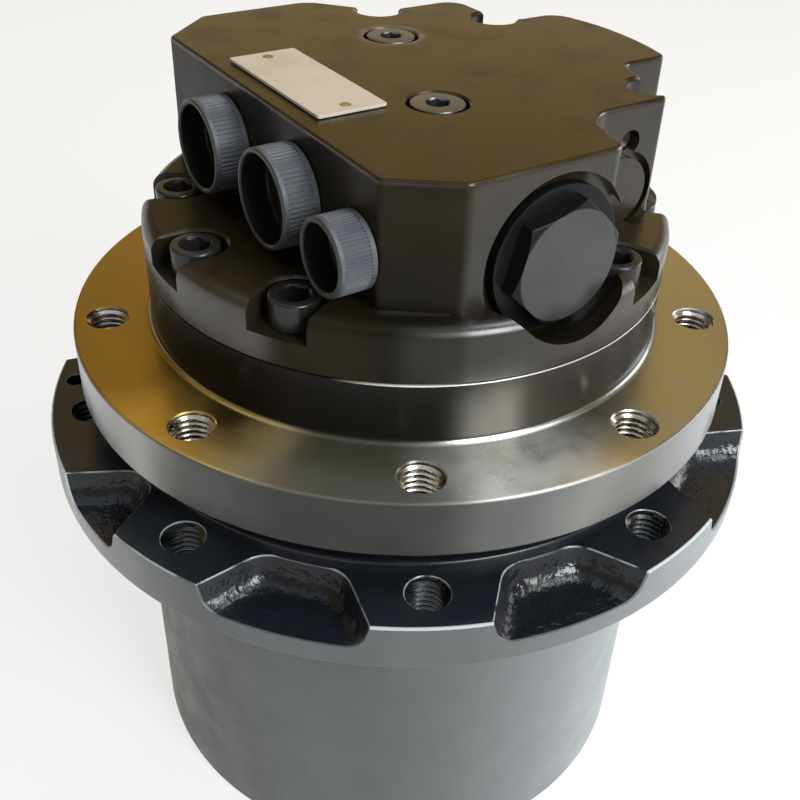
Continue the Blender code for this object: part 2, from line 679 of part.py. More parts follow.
def pocket_cutters(shop):
    """The cast pockets between the bolt pads, open at the rim, with drafted walls and round inner corners."""
    pads = []
    for index, angle in enumerate(spread(HUB_BOLTS, HUB_BOLT_START)):
        half = WIDE_PAD_HALF_ANGLE if index == WIDE_PAD_INDEX else PAD_HALF_ANGLE
        pads.append((angle - half, angle + half))
    reach = HUB_FLANGE_RADIUS + OVERRUN
    cutters = []
    for (_, start), (end, _) in zip(pads, pads[1:] + [(pads[0][0] + 2 * math.pi, 0.0)]):
        bm = bmesh.new()
        loops = []
        for height, draft in ((HUB_FLANGE_TOP - POCKET_DEPTH, POCKET_DRAFT), (HUB_FLANGE_TOP + OVERRUN, 0.0)):
            inner = POCKET_INNER_RADIUS + draft
            room = inner * ((end - start) / 2 - pad_growth(inner)) - draft
            corner = min(POCKET_CORNER, room * POCKET_CORNER_SHARE)
            bend = inner + corner
            sides = [
                (reach, pad_growth(reach) + draft / reach),
                (bend, pad_growth(bend) + draft / bend),
                (inner, pad_growth(inner) + (draft + corner) / inner),
            ]
            outline = [on_circle(radius, start + turn) for radius, turn in sides]
            outline.append(on_circle(inner, (start + end) / 2))
            outline += [on_circle(radius, end - turn) for radius, turn in reversed(sides)]
            loops.append([bm.verts.new((x, y, height)) for x, y in outline])
        for loop in loops:
            edges = [bm.edges.new((a, b)) for a, b in zip(loop, loop[1:] + loop[:1])]
            bmesh.ops.contextual_create(bm, geom=edges)
        bmesh.ops.bridge_loops(bm, edges=[e for e in bm.edges if len(e.link_faces) == 1])
        cutters.append(shop.from_bmesh(shop.cutter_name(), bm, cutter=True))
    return cutters


def make_end_cover(shop):
    """Disc that closes the drum, its thrust pad, its snap ring and two oil plugs."""
    pad_top = STAGE1_BOTTOM - RUNNING_GAP / 2 - SEAT_GAP
    profile = [
        (0.0, pad_top),
        (THRUST_PAD_RADIUS, pad_top),
        (THRUST_PAD_RADIUS, COVER_TOP),
        (COVER_RADIUS, COVER_TOP),
        (COVER_RADIUS, COVER_BOTTOM),
        (COVER_STEP_RADIUS, COVER_BOTTOM),
        (COVER_STEP_RADIUS - COVER_STEP_HEIGHT, COVER_BOTTOM + COVER_STEP_HEIGHT),
        (0.0, COVER_BOTTOM + COVER_STEP_HEIGHT),
    ]
    cover = shop.turned("end_cover", profile, OUTER_STEPS)
    floor = COVER_BOTTOM + COVER_STEP_HEIGHT
    places = bolt_places(2, 0.0, OIL_PLUG_CIRCLE, floor - OVERRUN)
    shop.cut(cover, shop.rods(OIL_PLUG_RADIUS + SEAT_GAP, COVER_THICKNESS + 2 * OVERRUN, places, SMALL_STEPS))
    shop.finish(cover, "hub_paint")
    for number, angle in enumerate(spread(2), start=1):
        base = upright(*on_circle(OIL_PLUG_CIRCLE, angle), floor)
        plug = shop.rods(OIL_PLUG_RADIUS, COVER_TOP - floor, [base], SMALL_STEPS, name=f"oil_plug_{number}")
        mouth = upright(*on_circle(OIL_PLUG_CIRCLE, angle), floor - OVERRUN)
        shop.cut(plug, shop.rods(OIL_PLUG_SOCKET, OIL_PLUG_SOCKET_DEPTH + OVERRUN, [mouth], 6))
        shop.finish(plug, "plug_steel")
    outer = COVER_RADIUS + SNAP_RING_GROOVE
    inner = outer - SNAP_RING_WIDTH
    top = SNAP_RING_BOTTOM + SNAP_RING_THICKNESS
    band = [(inner, top), (outer, top), (outer, SNAP_RING_BOTTOM), (inner, SNAP_RING_BOTTOM)]
    ring = shop.turned("cover_snap_ring", band, OUTER_STEPS)
    low = (inner - OVERRUN, -SNAP_RING_MOUTH / 2, SNAP_RING_BOTTOM - OVERRUN)
    high = (outer + OVERRUN, SNAP_RING_MOUTH / 2, top + OVERRUN)
    shop.cut(ring, shop.block(low, high))
    shop.finish(ring, "ground_steel")


def make_planet(shop, name, teeth, place, circle, bottom, top):
    """One planet gear, with its origin on its pin's axis."""
    gear = shop.prism(name, gear_outline(teeth, planet_phase(teeth, place)), bottom, top)
    bore = upright(0.0, 0.0, bottom - OVERRUN)
    shop.cut(gear, shop.rods(PLANET_BORE, top - bottom + 2 * OVERRUN, [bore], SMALL_STEPS))
    gear.location = (*on_circle(circle, place), 0.0)
    return shop.finish(gear, "ground_steel")


def make_stage1(shop):
    """Input sun on its shaft, three planets and the turning carrier with its pins."""
    for number, place in enumerate(spread(STAGE1_PLANETS), start=1):
        make_planet(shop, f"stage1_planet_{number}", STAGE1_PLANET_TEETH, place, STAGE1_CENTRES,
                    STAGE1_BOTTOM, STAGE1_TOP)
    phase = sun_phase(STAGE1_SUN_TEETH, STAGE1_PLANET_TEETH)
    half_gap = RUNNING_GAP / 2
    sun = shop.prism("input_sun", gear_outline(STAGE1_SUN_TEETH, phase),
                     STAGE1_BOTTOM - half_gap, STAGE1_TOP + half_gap)
    stem = upright(0.0, 0.0, STAGE1_BOTTOM)
    length = SHAFT_MEETING - STAGE1_BOTTOM
    shop.join(sun, shop.rods(SHAFT_STUB_RADIUS, length, [stem], SMALL_STEPS))
    shop.finish(sun, "ground_steel")
    plate = [
        (SUN2_STUB_RADIUS + SEAT_GAP, CARRIER1_TOP),
        (CARRIER1_RADIUS, CARRIER1_TOP),
        (CARRIER1_RADIUS, CARRIER1_BOTTOM),
        (SUN2_STUB_RADIUS + SEAT_GAP, CARRIER1_BOTTOM),
    ]
    carrier = shop.turned("stage1_carrier", plate, INNER_STEPS)
    pin_bottom = STAGE1_BOTTOM - PLANET_BORE_SHOULDER
    pins = bolt_places(STAGE1_PLANETS, 0.0, STAGE1_CENTRES, pin_bottom)
    pin_length = (CARRIER1_BOTTOM + CARRIER1_TOP) / 2 - pin_bottom
    shop.join(carrier, shop.rods(PLANET_PIN_RADIUS, pin_length, pins, SMALL_STEPS))
    shop.finish(carrier, "ground_steel")


def make_stage2(shop):
    """Second sun on the first carrier, three planets and the fixed carrier splined into the spindle."""
    for number, place in enumerate(spread(STAGE2_PLANETS), start=1):
        make_planet(shop, f"stage2_planet_{number}", STAGE2_PLANET_TEETH, place, STAGE2_CENTRES,
                    STAGE2_BOTTOM, STAGE2_TOP)
    phase = sun_phase(STAGE2_SUN_TEETH, STAGE2_PLANET_TEETH)
    sun_bottom = CARRIER1_TOP + SEAT_GAP
    sun_top = CARRIER2_BOTTOM - RUNNING_GAP / 2
    sun = shop.prism("stage2_sun", gear_outline(STAGE2_SUN_TEETH, phase), sun_bottom, sun_top)
    stub = upright(0.0, 0.0, CARRIER1_BOTTOM + SEAT_GAP)
    stub_length = (sun_bottom + sun_top) / 2 - CARRIER1_BOTTOM
    shop.join(sun, shop.rods(SUN2_STUB_RADIUS, stub_length, [stub], SMALL_STEPS))
    bore = upright(0.0, 0.0, CARRIER1_BOTTOM - OVERRUN)
    shop.cut(sun, shop.rods(SUN2_BORE, CARRIER2_BOTTOM - CARRIER1_BOTTOM + 2 * OVERRUN, [bore], SMALL_STEPS))
    shop.finish(sun, "ground_steel")
    core = COUPLING_RADIUS + RUNNING_GAP
    plate = [
        (core, CARRIER2_TOP),
        (CARRIER2_RADIUS, CARRIER2_TOP),
        (CARRIER2_RADIUS, CARRIER2_BOTTOM),
        (core, CARRIER2_BOTTOM),
    ]
    carrier = shop.turned("stage2_carrier", plate, INNER_STEPS)
    middle = (CARRIER2_BOTTOM + CARRIER2_TOP) / 2
    pin_bottom = STAGE2_BOTTOM - PLANET_BORE_SHOULDER / 2
    pins = bolt_places(STAGE2_PLANETS, 0.0, STAGE2_CENTRES, pin_bottom)
    shop.join(carrier, shop.rods(PLANET_PIN_RADIUS, middle - pin_bottom, pins, SMALL_STEPS))
    spigot = shop.prism(shop.cutter_name(), spline_outline(CARRIER_SPIGOT_RADIUS), middle,
                        CARRIER2_TOP + CARRIER_SPIGOT_HEIGHT, cutter=True)
    core_rod = upright(0.0, 0.0, middle - OVERRUN)
    shop.cut(spigot, shop.rods(core, CARRIER2_THICKNESS + CARRIER_SPIGOT_HEIGHT + OVERRUN, [core_rod], INNER_STEPS))
    shop.join(carrier, spigot)
    shop.finish(carrier, "ground_steel")


def race_groove(outward, bottom):
    """Points of a ball groove, from its upper lip to its lower one. outward is 1 on the outer race, -1 on the inner."""
    half = math.acos(RACE_LIP / BALL_RADIUS)
    clear = (BALL_RADIUS + SEAT_GAP) / math.cos(half / 2)
    centre = bottom + BEARING_WIDTH / 2
    flat = math.cos(math.pi / INNER_STEPS) if outward > 0 else 1.0
    return [((BALL_CIRCLE + outward * clear * math.cos(turn)) / flat, centre + clear * math.sin(turn))
            for turn in (half, 0.0, -half)]


def make_bearings(shop):
    """Races, ball sets and the spindle nut."""
    for label, bottom in (("lower", LOWER_BEARING), ("upper", UPPER_BEARING)):
        top = bottom + BEARING_WIDTH
        groove = race_groove(-1, bottom)
        inner_lip = groove[0][0]
        inner = [(BEARING_BORE, top), (inner_lip, top)] + groove
        inner += [(inner_lip, bottom), (BEARING_BORE, bottom)]
        shop.finish(shop.turned(f"inner_race_{label}", inner, INNER_STEPS), "ground_steel")
        groove = race_groove(1, bottom)
        outer_lip = groove[0][0]
        outer = [(BEARING_OUTSIDE, top), (BEARING_OUTSIDE, bottom), (outer_lip, bottom)]
        outer += list(reversed(groove)) + [(outer_lip, top)]
        shop.finish(shop.turned(f"outer_race_{label}", outer, INNER_STEPS), "ground_steel")
        middle = bottom + BEARING_WIDTH / 2
        wall = CAGE_WALL / 2
        hoop = [
            (BALL_CIRCLE - wall, middle + CAGE_HEIGHT),
            (BALL_CIRCLE + wall, middle + CAGE_HEIGHT),
            (BALL_CIRCLE + wall, middle - CAGE_HEIGHT),
            (BALL_CIRCLE - wall, middle - CAGE_HEIGHT),
        ]
        cage = shop.turned(f"ball_set_{label}", hoop, 2 * BALL_COUNT)
        bm = bmesh.new()
        for angle in spread(BALL_COUNT):
            place = upright(*on_circle(BALL_CIRCLE, angle), middle)
            bmesh.ops.create_uvsphere(bm, u_segments=BALL_STEPS, v_segments=BALL_STEPS // 2, radius=BALL_RADIUS, matrix=place)
        shop.join(cage, shop.from_bmesh(shop.cutter_name(), bm, cutter=True))
        shop.finish(cage, "bronze")
    thread = BEARING_BORE - THREAD_STEP
    nut_top = NUT_BOTTOM + BEARING_NUT_HEIGHT
    nut_outside = thread + BEARING_NUT_WALL
    profile = [(thread, nut_top), (nut_outside, nut_top), (nut_outside, NUT_BOTTOM), (thread, NUT_BOTTOM)]
    nut = shop.turned("bearing_nut", profile, INNER_STEPS)
    for angle in spread(NUT_SLOTS):
        low = (nut_outside - NUT_SLOT_DEPTH, -NUT_SLOT_WIDTH / 2, NUT_BOTTOM - OVERRUN)
        high = (nut_outside + OVERRUN, NUT_SLOT_WIDTH / 2, nut_top + OVERRUN)
        shop.cut(nut, shop.block(low, high, turn=Matrix.Rotation(angle, 4, "Z")))
    shop.finish(nut, "black_oxide")


def make_seals(shop):
    """The two rings of the face seal, one in the hub and one under the frame flange."""
    outside = SEAL_POCKET_RADIUS - SEAT_GAP
    inside = outside - SEAL_RING_WALL
    face = inside + SEAL_FACE_WALL
    meeting = (NOSE_TOP + FRAME_BOTTOM - SKIRT_GAP) / 2 - SEAL_GAP_HEIGHT / 4 + SKIRT_GAP / 2
    low = SEAL_FLOOR + SEAT_GAP
    high = FRAME_BOTTOM - SEAT_GAP
    below = meeting - SEAT_GAP / 2
    above = meeting + SEAT_GAP / 2
    turning = [(inside, below), (face, below), (face, low + SEAL_TOE_HEIGHT), (outside, low + SEAL_TOE_HEIGHT),
               (outside, low), (inside, low)]
    shop.finish(shop.turned("seal_ring_turning", turning, INNER_STEPS), "ground_steel")
    fixed = [(inside, high), (outside, high), (outside, high - SEAL_TOE_HEIGHT), (face, high - SEAL_TOE_HEIGHT),
             (face, above), (inside, above)]
    shop.finish(shop.turned("seal_ring_fixed", fixed, INNER_STEPS), "ground_steel")


def make_casing(shop):
    """Motor casing: spindle below, frame flange in the middle and collar above."""
    seat = BEARING_BORE - SEAT_GAP
    thread = seat - THREAD_STEP
    skirt = SEAL_POCKET_RADIUS + SKIRT_WALL
    skirt_bottom = NOSE_TOP + SKIRT_GAP
    outside = [
        (0.0, JOINT_HEIGHT),
        (COLLAR_RADIUS, JOINT_HEIGHT),
        (COLLAR_RADIUS, FRAME_TOP + COLLAR_FOOT),
        (COLLAR_RADIUS + COLLAR_FOOT, FRAME_TOP),
        (FRAME_FLANGE_RADIUS - FRAME_EDGE, FRAME_TOP),
        (FRAME_FLANGE_RADIUS, FRAME_TOP - FRAME_EDGE),
        (FRAME_FLANGE_RADIUS, FRAME_BOTTOM),
        (0.0, FRAME_BOTTOM),
    ]
    casing = shop.turned("motor_casing", outside, OUTER_STEPS)
    spindle = [
        (0.0, (FRAME_BOTTOM + FRAME_TOP) / 2),
        (skirt, (FRAME_BOTTOM + FRAME_TOP) / 2),
        (skirt, skirt_bottom),
        (SEAL_POCKET_RADIUS, skirt_bottom),
        (SEAL_POCKET_RADIUS, FRAME_BOTTOM),
        (NECK_RADIUS, FRAME_BOTTOM),
        (NECK_RADIUS, SHOULDER_BOTTOM + NECK_SHOULDER_HEIGHT + NECK_CONE_HEIGHT),
        (NECK_SHOULDER, SHOULDER_BOTTOM + NECK_SHOULDER_HEIGHT),
        (NECK_SHOULDER, SHOULDER_BOTTOM),
        (seat, SHOULDER_BOTTOM),
        (seat, LOWER_BEARING),
        (thread, LOWER_BEARING - SEAT_GAP),
        (thread, SPINDLE_BOTTOM),
        (0.0, SPINDLE_BOTTOM),
    ]
    shop.join(casing, shop.turned(shop.cutter_name(), spindle, INNER_STEPS, cutter=True))
    coupling = COUPLING_RADIUS + RUNNING_GAP
    bearing = SHAFT_BEARING_RADIUS + SEAT_GAP
    inside = [
        (0.0, JOINT_HEIGHT + OVERRUN),
        (BRAKE_CHAMBER_RADIUS, JOINT_HEIGHT + OVERRUN),
        (BRAKE_CHAMBER_RADIUS, BRAKE_FLOOR),
        (CHAMBER_RADIUS, BRAKE_FLOOR),
        (CHAMBER_RADIUS, SWASH_FLOOR),
        (bearing, SWASH_FLOOR),
        (bearing, SHAFT_SEAT),
        (coupling, SHAFT_SEAT),
        (coupling, SPINDLE_BOTTOM - OVERRUN),
        (0.0, SPINDLE_BOTTOM - OVERRUN),
    ]
    shop.cut(casing, shop.turned(shop.cutter_name(), inside, INNER_STEPS, cutter=True))
    key_top = SPINDLE_BOTTOM + CARRIER_SPIGOT_HEIGHT
    keyed = spline_outline(CARRIER_SPIGOT_RADIUS + SEAT_GAP)
    shop.cut(casing, shop.prism(shop.cutter_name(), keyed, SPINDLE_BOTTOM - OVERRUN, key_top, cutter=True))
    depth = FRAME_FLANGE_THICKNESS + 2 * OVERRUN
    holes = bolt_places(FRAME_BOLTS, 0.0, FRAME_BOLT_CIRCLE, FRAME_BOTTOM - OVERRUN)
    shop.cut(casing, shop.rods(FLANGE_HOLE_RADIUS, depth, holes, TINY_STEPS))
    taps = [upright(*on_circle(COVER_BOLT_CIRCLE, math.radians(a)), JOINT_HEIGHT - COVER_BOLT_GRIP)
            for a in COVER_BOLT_ANGLES]
    shop.cut(casing, shop.rods(COVER_BOLT_HOLE, COVER_BOLT_GRIP + OVERRUN, taps, TINY_STEPS))
    return shop.finish(casing, "turned_steel")


def make_motor(shop):
    """Shaft, coupling, swash plate, pistons in their block, valve plate, shaft bearings and parking brake."""
    journal = SHAFT_RADIUS + SEAT_GAP
    rear = REAR_JOURNAL_RADIUS - SEAT_GAP
    shaft = [
        (0.0, REAR_POCKET_TOP - RUNNING_GAP),
        (rear, REAR_POCKET_TOP - RUNNING_GAP),
        (rear, SPIGOT_BOTTOM),
        (SHAFT_RADIUS, SPIGOT_BOTTOM),
        (SHAFT_RADIUS, ROTOR_TOP),
        (BLOCK_SPLINE_RADIUS, ROTOR_TOP),
        (BLOCK_SPLINE_RADIUS, BLOCK_BOTTOM),
        (SHAFT_RADIUS, BLOCK_BOTTOM),
        (SHAFT_RADIUS, SHAFT_SEAT),
        (SHAFT_STUB_RADIUS, SHAFT_SEAT),
        (SHAFT_STUB_RADIUS, SHAFT_MEETING + SEAT_GAP),
        (0.0, SHAFT_MEETING + SEAT_GAP),
    ]
    shop.finish(shop.turned("motor_shaft", shaft, SMALL_STEPS), "ground_steel")
    sleeve_bore = SHAFT_STUB_RADIUS + SEAT_GAP
    low = SHAFT_MEETING - COUPLING_GRIP
    high = SHAFT_SEAT - RUNNING_GAP
    sleeve = [(sleeve_bore, high), (COUPLING_RADIUS, high), (COUPLING_RADIUS, low), (sleeve_bore, low)]
    shop.finish(shop.turned("shaft_coupling", sleeve, SMALL_STEPS), "black_oxide")
    ring_bottom = SHAFT_SEAT + SEAT_GAP
    ring_top = SHAFT_SEAT + SHAFT_BEARING_WIDTH
    front = [(journal, ring_top), (SHAFT_BEARING_RADIUS, ring_top), (SHAFT_BEARING_RADIUS, ring_bottom),
             (journal, ring_bottom)]
    shop.finish(shop.turned("shaft_bearing_front", front, INNER_STEPS), "ground_steel")
    rear_bottom = SPIGOT_BOTTOM + SEAT_GAP
    rear_top = SPIGOT_BOTTOM + REAR_BEARING_WIDTH
    back = [(REAR_JOURNAL_RADIUS, rear_top), (REAR_BEARING_RADIUS, rear_top), (REAR_BEARING_RADIUS, rear_bottom),
            (REAR_JOURNAL_RADIUS, rear_bottom)]
    shop.finish(shop.turned("shaft_bearing_rear", back, INNER_STEPS), "ground_steel")
    outside = CHAMBER_RADIUS - SEAT_GAP
    swash = [(SWASH_BORE, SWASH_TOP), (outside, SWASH_TOP), (outside, SWASH_FLOOR + SEAT_GAP),
             (SWASH_BORE, SWASH_FLOOR + SEAT_GAP)]
    shop.finish(shop.turned("swash_plate", swash, INNER_STEPS), "ground_steel")
    plate_top = VALVE_PLATE_BOTTOM + VALVE_PLATE_THICKNESS
    port = BLOCK_SPLINE_RADIUS + SEAT_GAP
    plate = [(port, plate_top), (SPIGOT_RADIUS, plate_top), (SPIGOT_RADIUS, VALVE_PLATE_BOTTOM),
             (port, VALVE_PLATE_BOTTOM)]
    shop.finish(shop.turned("valve_plate", plate, INNER_STEPS), "bronze")
    block = [(port, ROTOR_TOP), (BLOCK_RADIUS, ROTOR_TOP), (BLOCK_RADIUS, BLOCK_BOTTOM), (port, BLOCK_BOTTOM)]
    barrel = shop.turned("cylinder_block", block, INNER_STEPS)
    bores = bolt_places(PISTONS, 0.0, PISTON_CIRCLE, BLOCK_BOTTOM - OVERRUN)
    shop.cut(barrel, shop.rods(PISTON_RADIUS + SEAT_GAP, BLOCK_BORE_LENGTH + OVERRUN, bores, TINY_STEPS))
    shop.finish(barrel, "ground_steel")
    for number, angle in enumerate(spread(PISTONS), start=1):
        make_piston(shop, f"piston_{number}", angle)
    make_brake(shop)


def make_piston(shop, name, angle):
    """A piston with its slipper on the swash plate."""
    neck_top = SLIPPER_BOTTOM + SLIPPER_HEIGHT + SLIPPER_REACH + SEAT_GAP
    profile = [
        (0.0, neck_top + PISTON_LENGTH),
        (PISTON_RADIUS, neck_top + PISTON_LENGTH),
        (PISTON_RADIUS, neck_top),
        (PISTON_NECK, neck_top),
        (PISTON_NECK, SLIPPER_BOTTOM + SLIPPER_HEIGHT),
        (SLIPPER_RADIUS, SLIPPER_BOTTOM + SLIPPER_HEIGHT / 2),
        (SLIPPER_RADIUS, SLIPPER_BOTTOM),
        (0.0, SLIPPER_BOTTOM),
    ]
    piston = shop.turned(name, profile, TINY_STEPS)
    piston.location = (*on_circle(PISTON_CIRCLE, angle), 0.0)
    shop.finish(piston, "ground_steel")


def make_brake(shop):
    """Fixed plate, turning friction disc and the annular piston that clamps them."""
    outside = BRAKE_CHAMBER_RADIUS - SEAT_GAP
    top = BRAKE_PLATE_BOTTOM + BRAKE_PLATE_THICKNESS
    plate = [(BRAKE_BORE, top), (outside, top), (outside, BRAKE_PLATE_BOTTOM), (BRAKE_BORE, BRAKE_PLATE_BOTTOM)]
    shop.finish(shop.turned("brake_plate", plate, INNER_STEPS), "ground_steel")
    bore = BLOCK_RADIUS + SEAT_GAP
    rim = BRAKE_CHAMBER_RADIUS - BRAKE_DISC_INSET
    disc_top = BRAKE_DISC_BOTTOM + BRAKE_PLATE_THICKNESS
    disc = [(bore, disc_top), (rim, disc_top), (rim, BRAKE_DISC_BOTTOM), (bore, BRAKE_DISC_BOTTOM)]
    shop.finish(shop.turned("brake_disc", disc, INNER_STEPS), "friction")
    piston = [(BRAKE_BORE, BRAKE_PISTON_TOP), (outside, BRAKE_PISTON_TOP), (outside, BRAKE_PISTON_BOTTOM),
              (BRAKE_BORE, BRAKE_PISTON_BOTTOM)]
    shop.finish(shop.turned("brake_piston", piston, INNER_STEPS), "ground_steel")


def block_outline():
    """The valve block from above: two plain sides and three lobes between the bolt notches."""
    return [
        (BLOCK_LEFT, BLOCK_FRONT + BLOCK_CORNER_RUN),
        (BLOCK_LEFT + BLOCK_CORNER_CUT, BLOCK_FRONT),
        (BOSS_RIGHT, BLOCK_FRONT),
        (BOSS_WAIST, (BLOCK_FRONT + BOSS_ROOT) / 2),
        (BOSS_WAIST, BOSS_ROOT),
        (FRONT_LOBE_LEFT, FRONT_LOBE_FACE),
        (FRONT_LOBE_RIGHT, FRONT_LOBE_FACE),
        (SIDE_LOBE_ROOT, (FRONT_LOBE_FACE + SIDE_LOBE_FRONT) / 2),
        (SIDE_LOBE_ROOT + BOLT_POCKET_RADIUS / 2, SIDE_LOBE_FRONT),
        (SIDE_LOBE_REACH - SIDE_LOBE_CORNER, SIDE_LOBE_FRONT),
        (SIDE_LOBE_REACH, SIDE_LOBE_FRONT + SIDE_LOBE_RUN),
        (SIDE_LOBE_REACH, SIDE_LOBE_BACK - BOLT_POCKET_RADIUS * 2),
        (SIDE_LOBE_REACH - BOLT_POCKET_RADIUS / 2, SIDE_LOBE_BACK),
        (BACK_LOBE_RIGHT + BOLT_POCKET_RADIUS / 2, SIDE_LOBE_BACK),
        (BACK_LOBE_RIGHT, SIDE_LOBE_BACK + BOLT_POCKET_RADIUS),
        (BACK_LOBE_RIGHT, BACK_LOBE_FACE),
        (BACK_LOBE_LEFT, BACK_LOBE_FACE),
        (BACK_BOSS_RIGHT, BLOCK_BACK),
        (BACK_BOSS_LEFT, BLOCK_BACK),
        (BLOCK_LEFT + BLOCK_CORNER_CUT, BLOCK_BACK - SEAT_GAP),
        (BLOCK_LEFT, BLOCK_BACK - BACK_CORNER_CUT),
    ]


def make_rear_cover(shop):
    """Cover flange, spigot and valve block in one casting, with all its bores and pockets."""
    flange = [
        (0.0, COVER_FLANGE_TOP),
        (COVER_FLANGE_RADIUS - COVER_EDGE, COVER_FLANGE_TOP),
        (COVER_FLANGE_RADIUS, COVER_FLANGE_TOP - COVER_EDGE),
        (COVER_FLANGE_RADIUS, COVER_FLANGE_BOTTOM),
        (SPIGOT_RADIUS, COVER_FLANGE_BOTTOM),
        (SPIGOT_RADIUS, SPIGOT_BOTTOM),
        (0.0, SPIGOT_BOTTOM),
    ]
    cover = shop.turned("rear_cover", flange, OUTER_STEPS)
    shop.join(cover, shop.prism(shop.cutter_name(), block_outline(), COVER_FLANGE_TOP - BLOCK_SINK, BLOCK_TOP,
                                cutter=True))
    bulge = (BULGE_OFFSET, BLOCK_FRONT + BULGE_INSET, BLOCK_TOP - BULGE_DROP)
    shop.join(cover, shop.rods(BULGE_RADIUS, BULGE_LENGTH, [facing(bulge, (0.0, 1.0, 0.0))], TINY_STEPS))
    pocket = upright(0.0, 0.0, SPIGOT_BOTTOM - OVERRUN)
    shop.cut(cover, shop.rods(REAR_BEARING_RADIUS + SEAT_GAP, REAR_POCKET_TOP - SPIGOT_BOTTOM + OVERRUN, [pocket],
                              INNER_STEPS))
    cut_bolt_pockets(shop, cover)
    cut_spool_bore(shop, cover)
    cut_ports(shop, cover)
    groove = TOP_PLUG_RADIUS + TOP_PLUG_GROOVE
    seats = [upright(x, y, BLOCK_TOP - TOP_PLUG_LENGTH - SEAT_GAP) for x, y in TOP_PLUG_PLACES]
    shop.cut(cover, shop.rods(groove, TOP_PLUG_LENGTH + OVERRUN, seats, SMALL_STEPS))
    return shop.finish(cover, "black_paint")


def cut_bolt_pockets(shop, cover):
    """Round spotfaces under the bolt heads, open at the rim, and the flutes that let each bolt in from above."""
    pocket_top = COVER_FLANGE_TOP + BOLT_POCKET_RELIEF
    for degrees in COVER_BOLT_ANGLES:
        angle = math.radians(degrees)
        x, y = on_circle(COVER_BOLT_CIRCLE, angle)
        turn = Matrix.Translation((x, y, 0.0)) @ Matrix.Rotation(angle, 4, "Z")
        reach = COVER_FLANGE_RADIUS - COVER_BOLT_CIRCLE + OVERRUN
        outline = arc((0.0, 0.0), BOLT_POCKET_RADIUS, math.pi / 2, 3 * math.pi / 2, TINY_STEPS)
        outline += [(reach, -BOLT_POCKET_RADIUS), (reach, BOLT_POCKET_RADIUS)]
        pocket = shop.prism(shop.cutter_name(), outline, POCKET_FLOOR, pocket_top, cutter=True)
        pocket.matrix_world = turn
        shop.cut(cover, pocket)
        if x > 0:
            flute = upright(x, y, (POCKET_FLOOR + COVER_FLANGE_TOP) / 2)
            shop.cut(cover, shop.rods(BOLT_FLUTE_RADIUS, BLOCK_TOP + OVERRUN - POCKET_FLOOR, [flute], SMALL_STEPS))
        hole = upright(x, y, COVER_FLANGE_BOTTOM - OVERRUN)
        shop.cut(cover, shop.rods(COVER_BOLT_HOLE, POCKET_FLOOR + 2 * OVERRUN - COVER_FLANGE_BOTTOM,
                                  [hole], TINY_STEPS))


def cut_spool_bore(shop, cover):
    """The cross bore from face to face, its threaded mouths and the spotfaces round them."""
    length = BLOCK_BACK - BLOCK_FRONT
    start = (SPOOL_OFFSET, BLOCK_FRONT - OVERRUN, SPOOL_HEIGHT)
    along = (0.0, 1.0, 0.0)
    shop.cut(cover, shop.rods(SPOOL_RADIUS + SEAT_GAP, length + 2 * OVERRUN, [facing(start, along)], SMALL_STEPS))
    for face, inward in ((BLOCK_FRONT, 1.0), (BLOCK_BACK, -1.0)):
        axis = (0.0, inward, 0.0)
        outside = max(COVER_FLANGE_RADIUS - abs(face), 0.0) + OVERRUN
        mouth = (SPOOL_OFFSET, face - inward * OVERRUN, SPOOL_HEIGHT)
        depth = OVERRUN + PLUG_SPOTFACE_DEPTH + PLUG_THREAD_LENGTH + SEAT_GAP
        shop.cut(cover, shop.rods(PLUG_THREAD + SEAT_GAP, depth, [facing(mouth, axis)], CAP_STEPS))
        spot = (SPOOL_OFFSET, face - inward * outside, SPOOL_HEIGHT)
        shop.cut(cover, shop.rods(PLUG_SPOTFACE, outside + PLUG_SPOTFACE_DEPTH, [facing(spot, axis)], INNER_STEPS))


def cut_ports(shop, cover):
    """The three oil ports in the left face and the narrower passages behind the two large ones."""
    for (y, rise), radius in zip(PORT_PLACES, PORT_CAP_RADII):
        mouth = (BLOCK_LEFT - OVERRUN, y, COVER_FLANGE_TOP + rise)
        bore = radius * PORT_STEM_SHARE + SEAT_GAP
        axis = (1.0, 0.0, 0.0)
        shop.cut(cover, shop.rods(bore, PORT_DEPTH + OVERRUN, [facing(mouth, axis)], CAP_STEPS))
    for y, rise in PORT_PLACES[:2]:
        mouth = (BLOCK_LEFT, y, COVER_FLANGE_TOP + rise)
        reach = SPOOL_OFFSET - BLOCK_LEFT
        shop.cut(cover, shop.rods(PORT_PASSAGE, reach, [facing(mouth, (1.0, 0.0, 0.0))], TINY_STEPS))


def make_cover_bolts(shop):
    """Socket-head screws that hold the rear cover on the casing."""
    head_bottom = POCKET_FLOOR + SEAT_GAP
    head_top = head_bottom + COVER_BOLT_HEAD_HEIGHT
    shank_end = JOINT_HEIGHT - COVER_BOLT_GRIP + SEAT_GAP
    profile = [
        (0.0, head_top),
        (COVER_BOLT_HEAD, head_top),
        (COVER_BOLT_HEAD, head_bottom),
        (COVER_BOLT_SHANK, head_bottom),
        (COVER_BOLT_SHANK, shank_end),
        (0.0, shank_end),
    ]
    for number, degrees in enumerate(COVER_BOLT_ANGLES, start=1):
        bolt = shop.turned(f"cover_bolt_{number}", profile, SMALL_STEPS)
        socket = upright(0.0, 0.0, head_top - COVER_BOLT_SOCKET_DEPTH)
        shop.cut(bolt, shop.rods(COVER_BOLT_SOCKET, COVER_BOLT_SOCKET_DEPTH + OVERRUN, [socket], 6))
        bolt.location = (*on_circle(COVER_BOLT_CIRCLE, math.radians(degrees)), 0.0)
        shop.finish(bolt, "black_oxide")


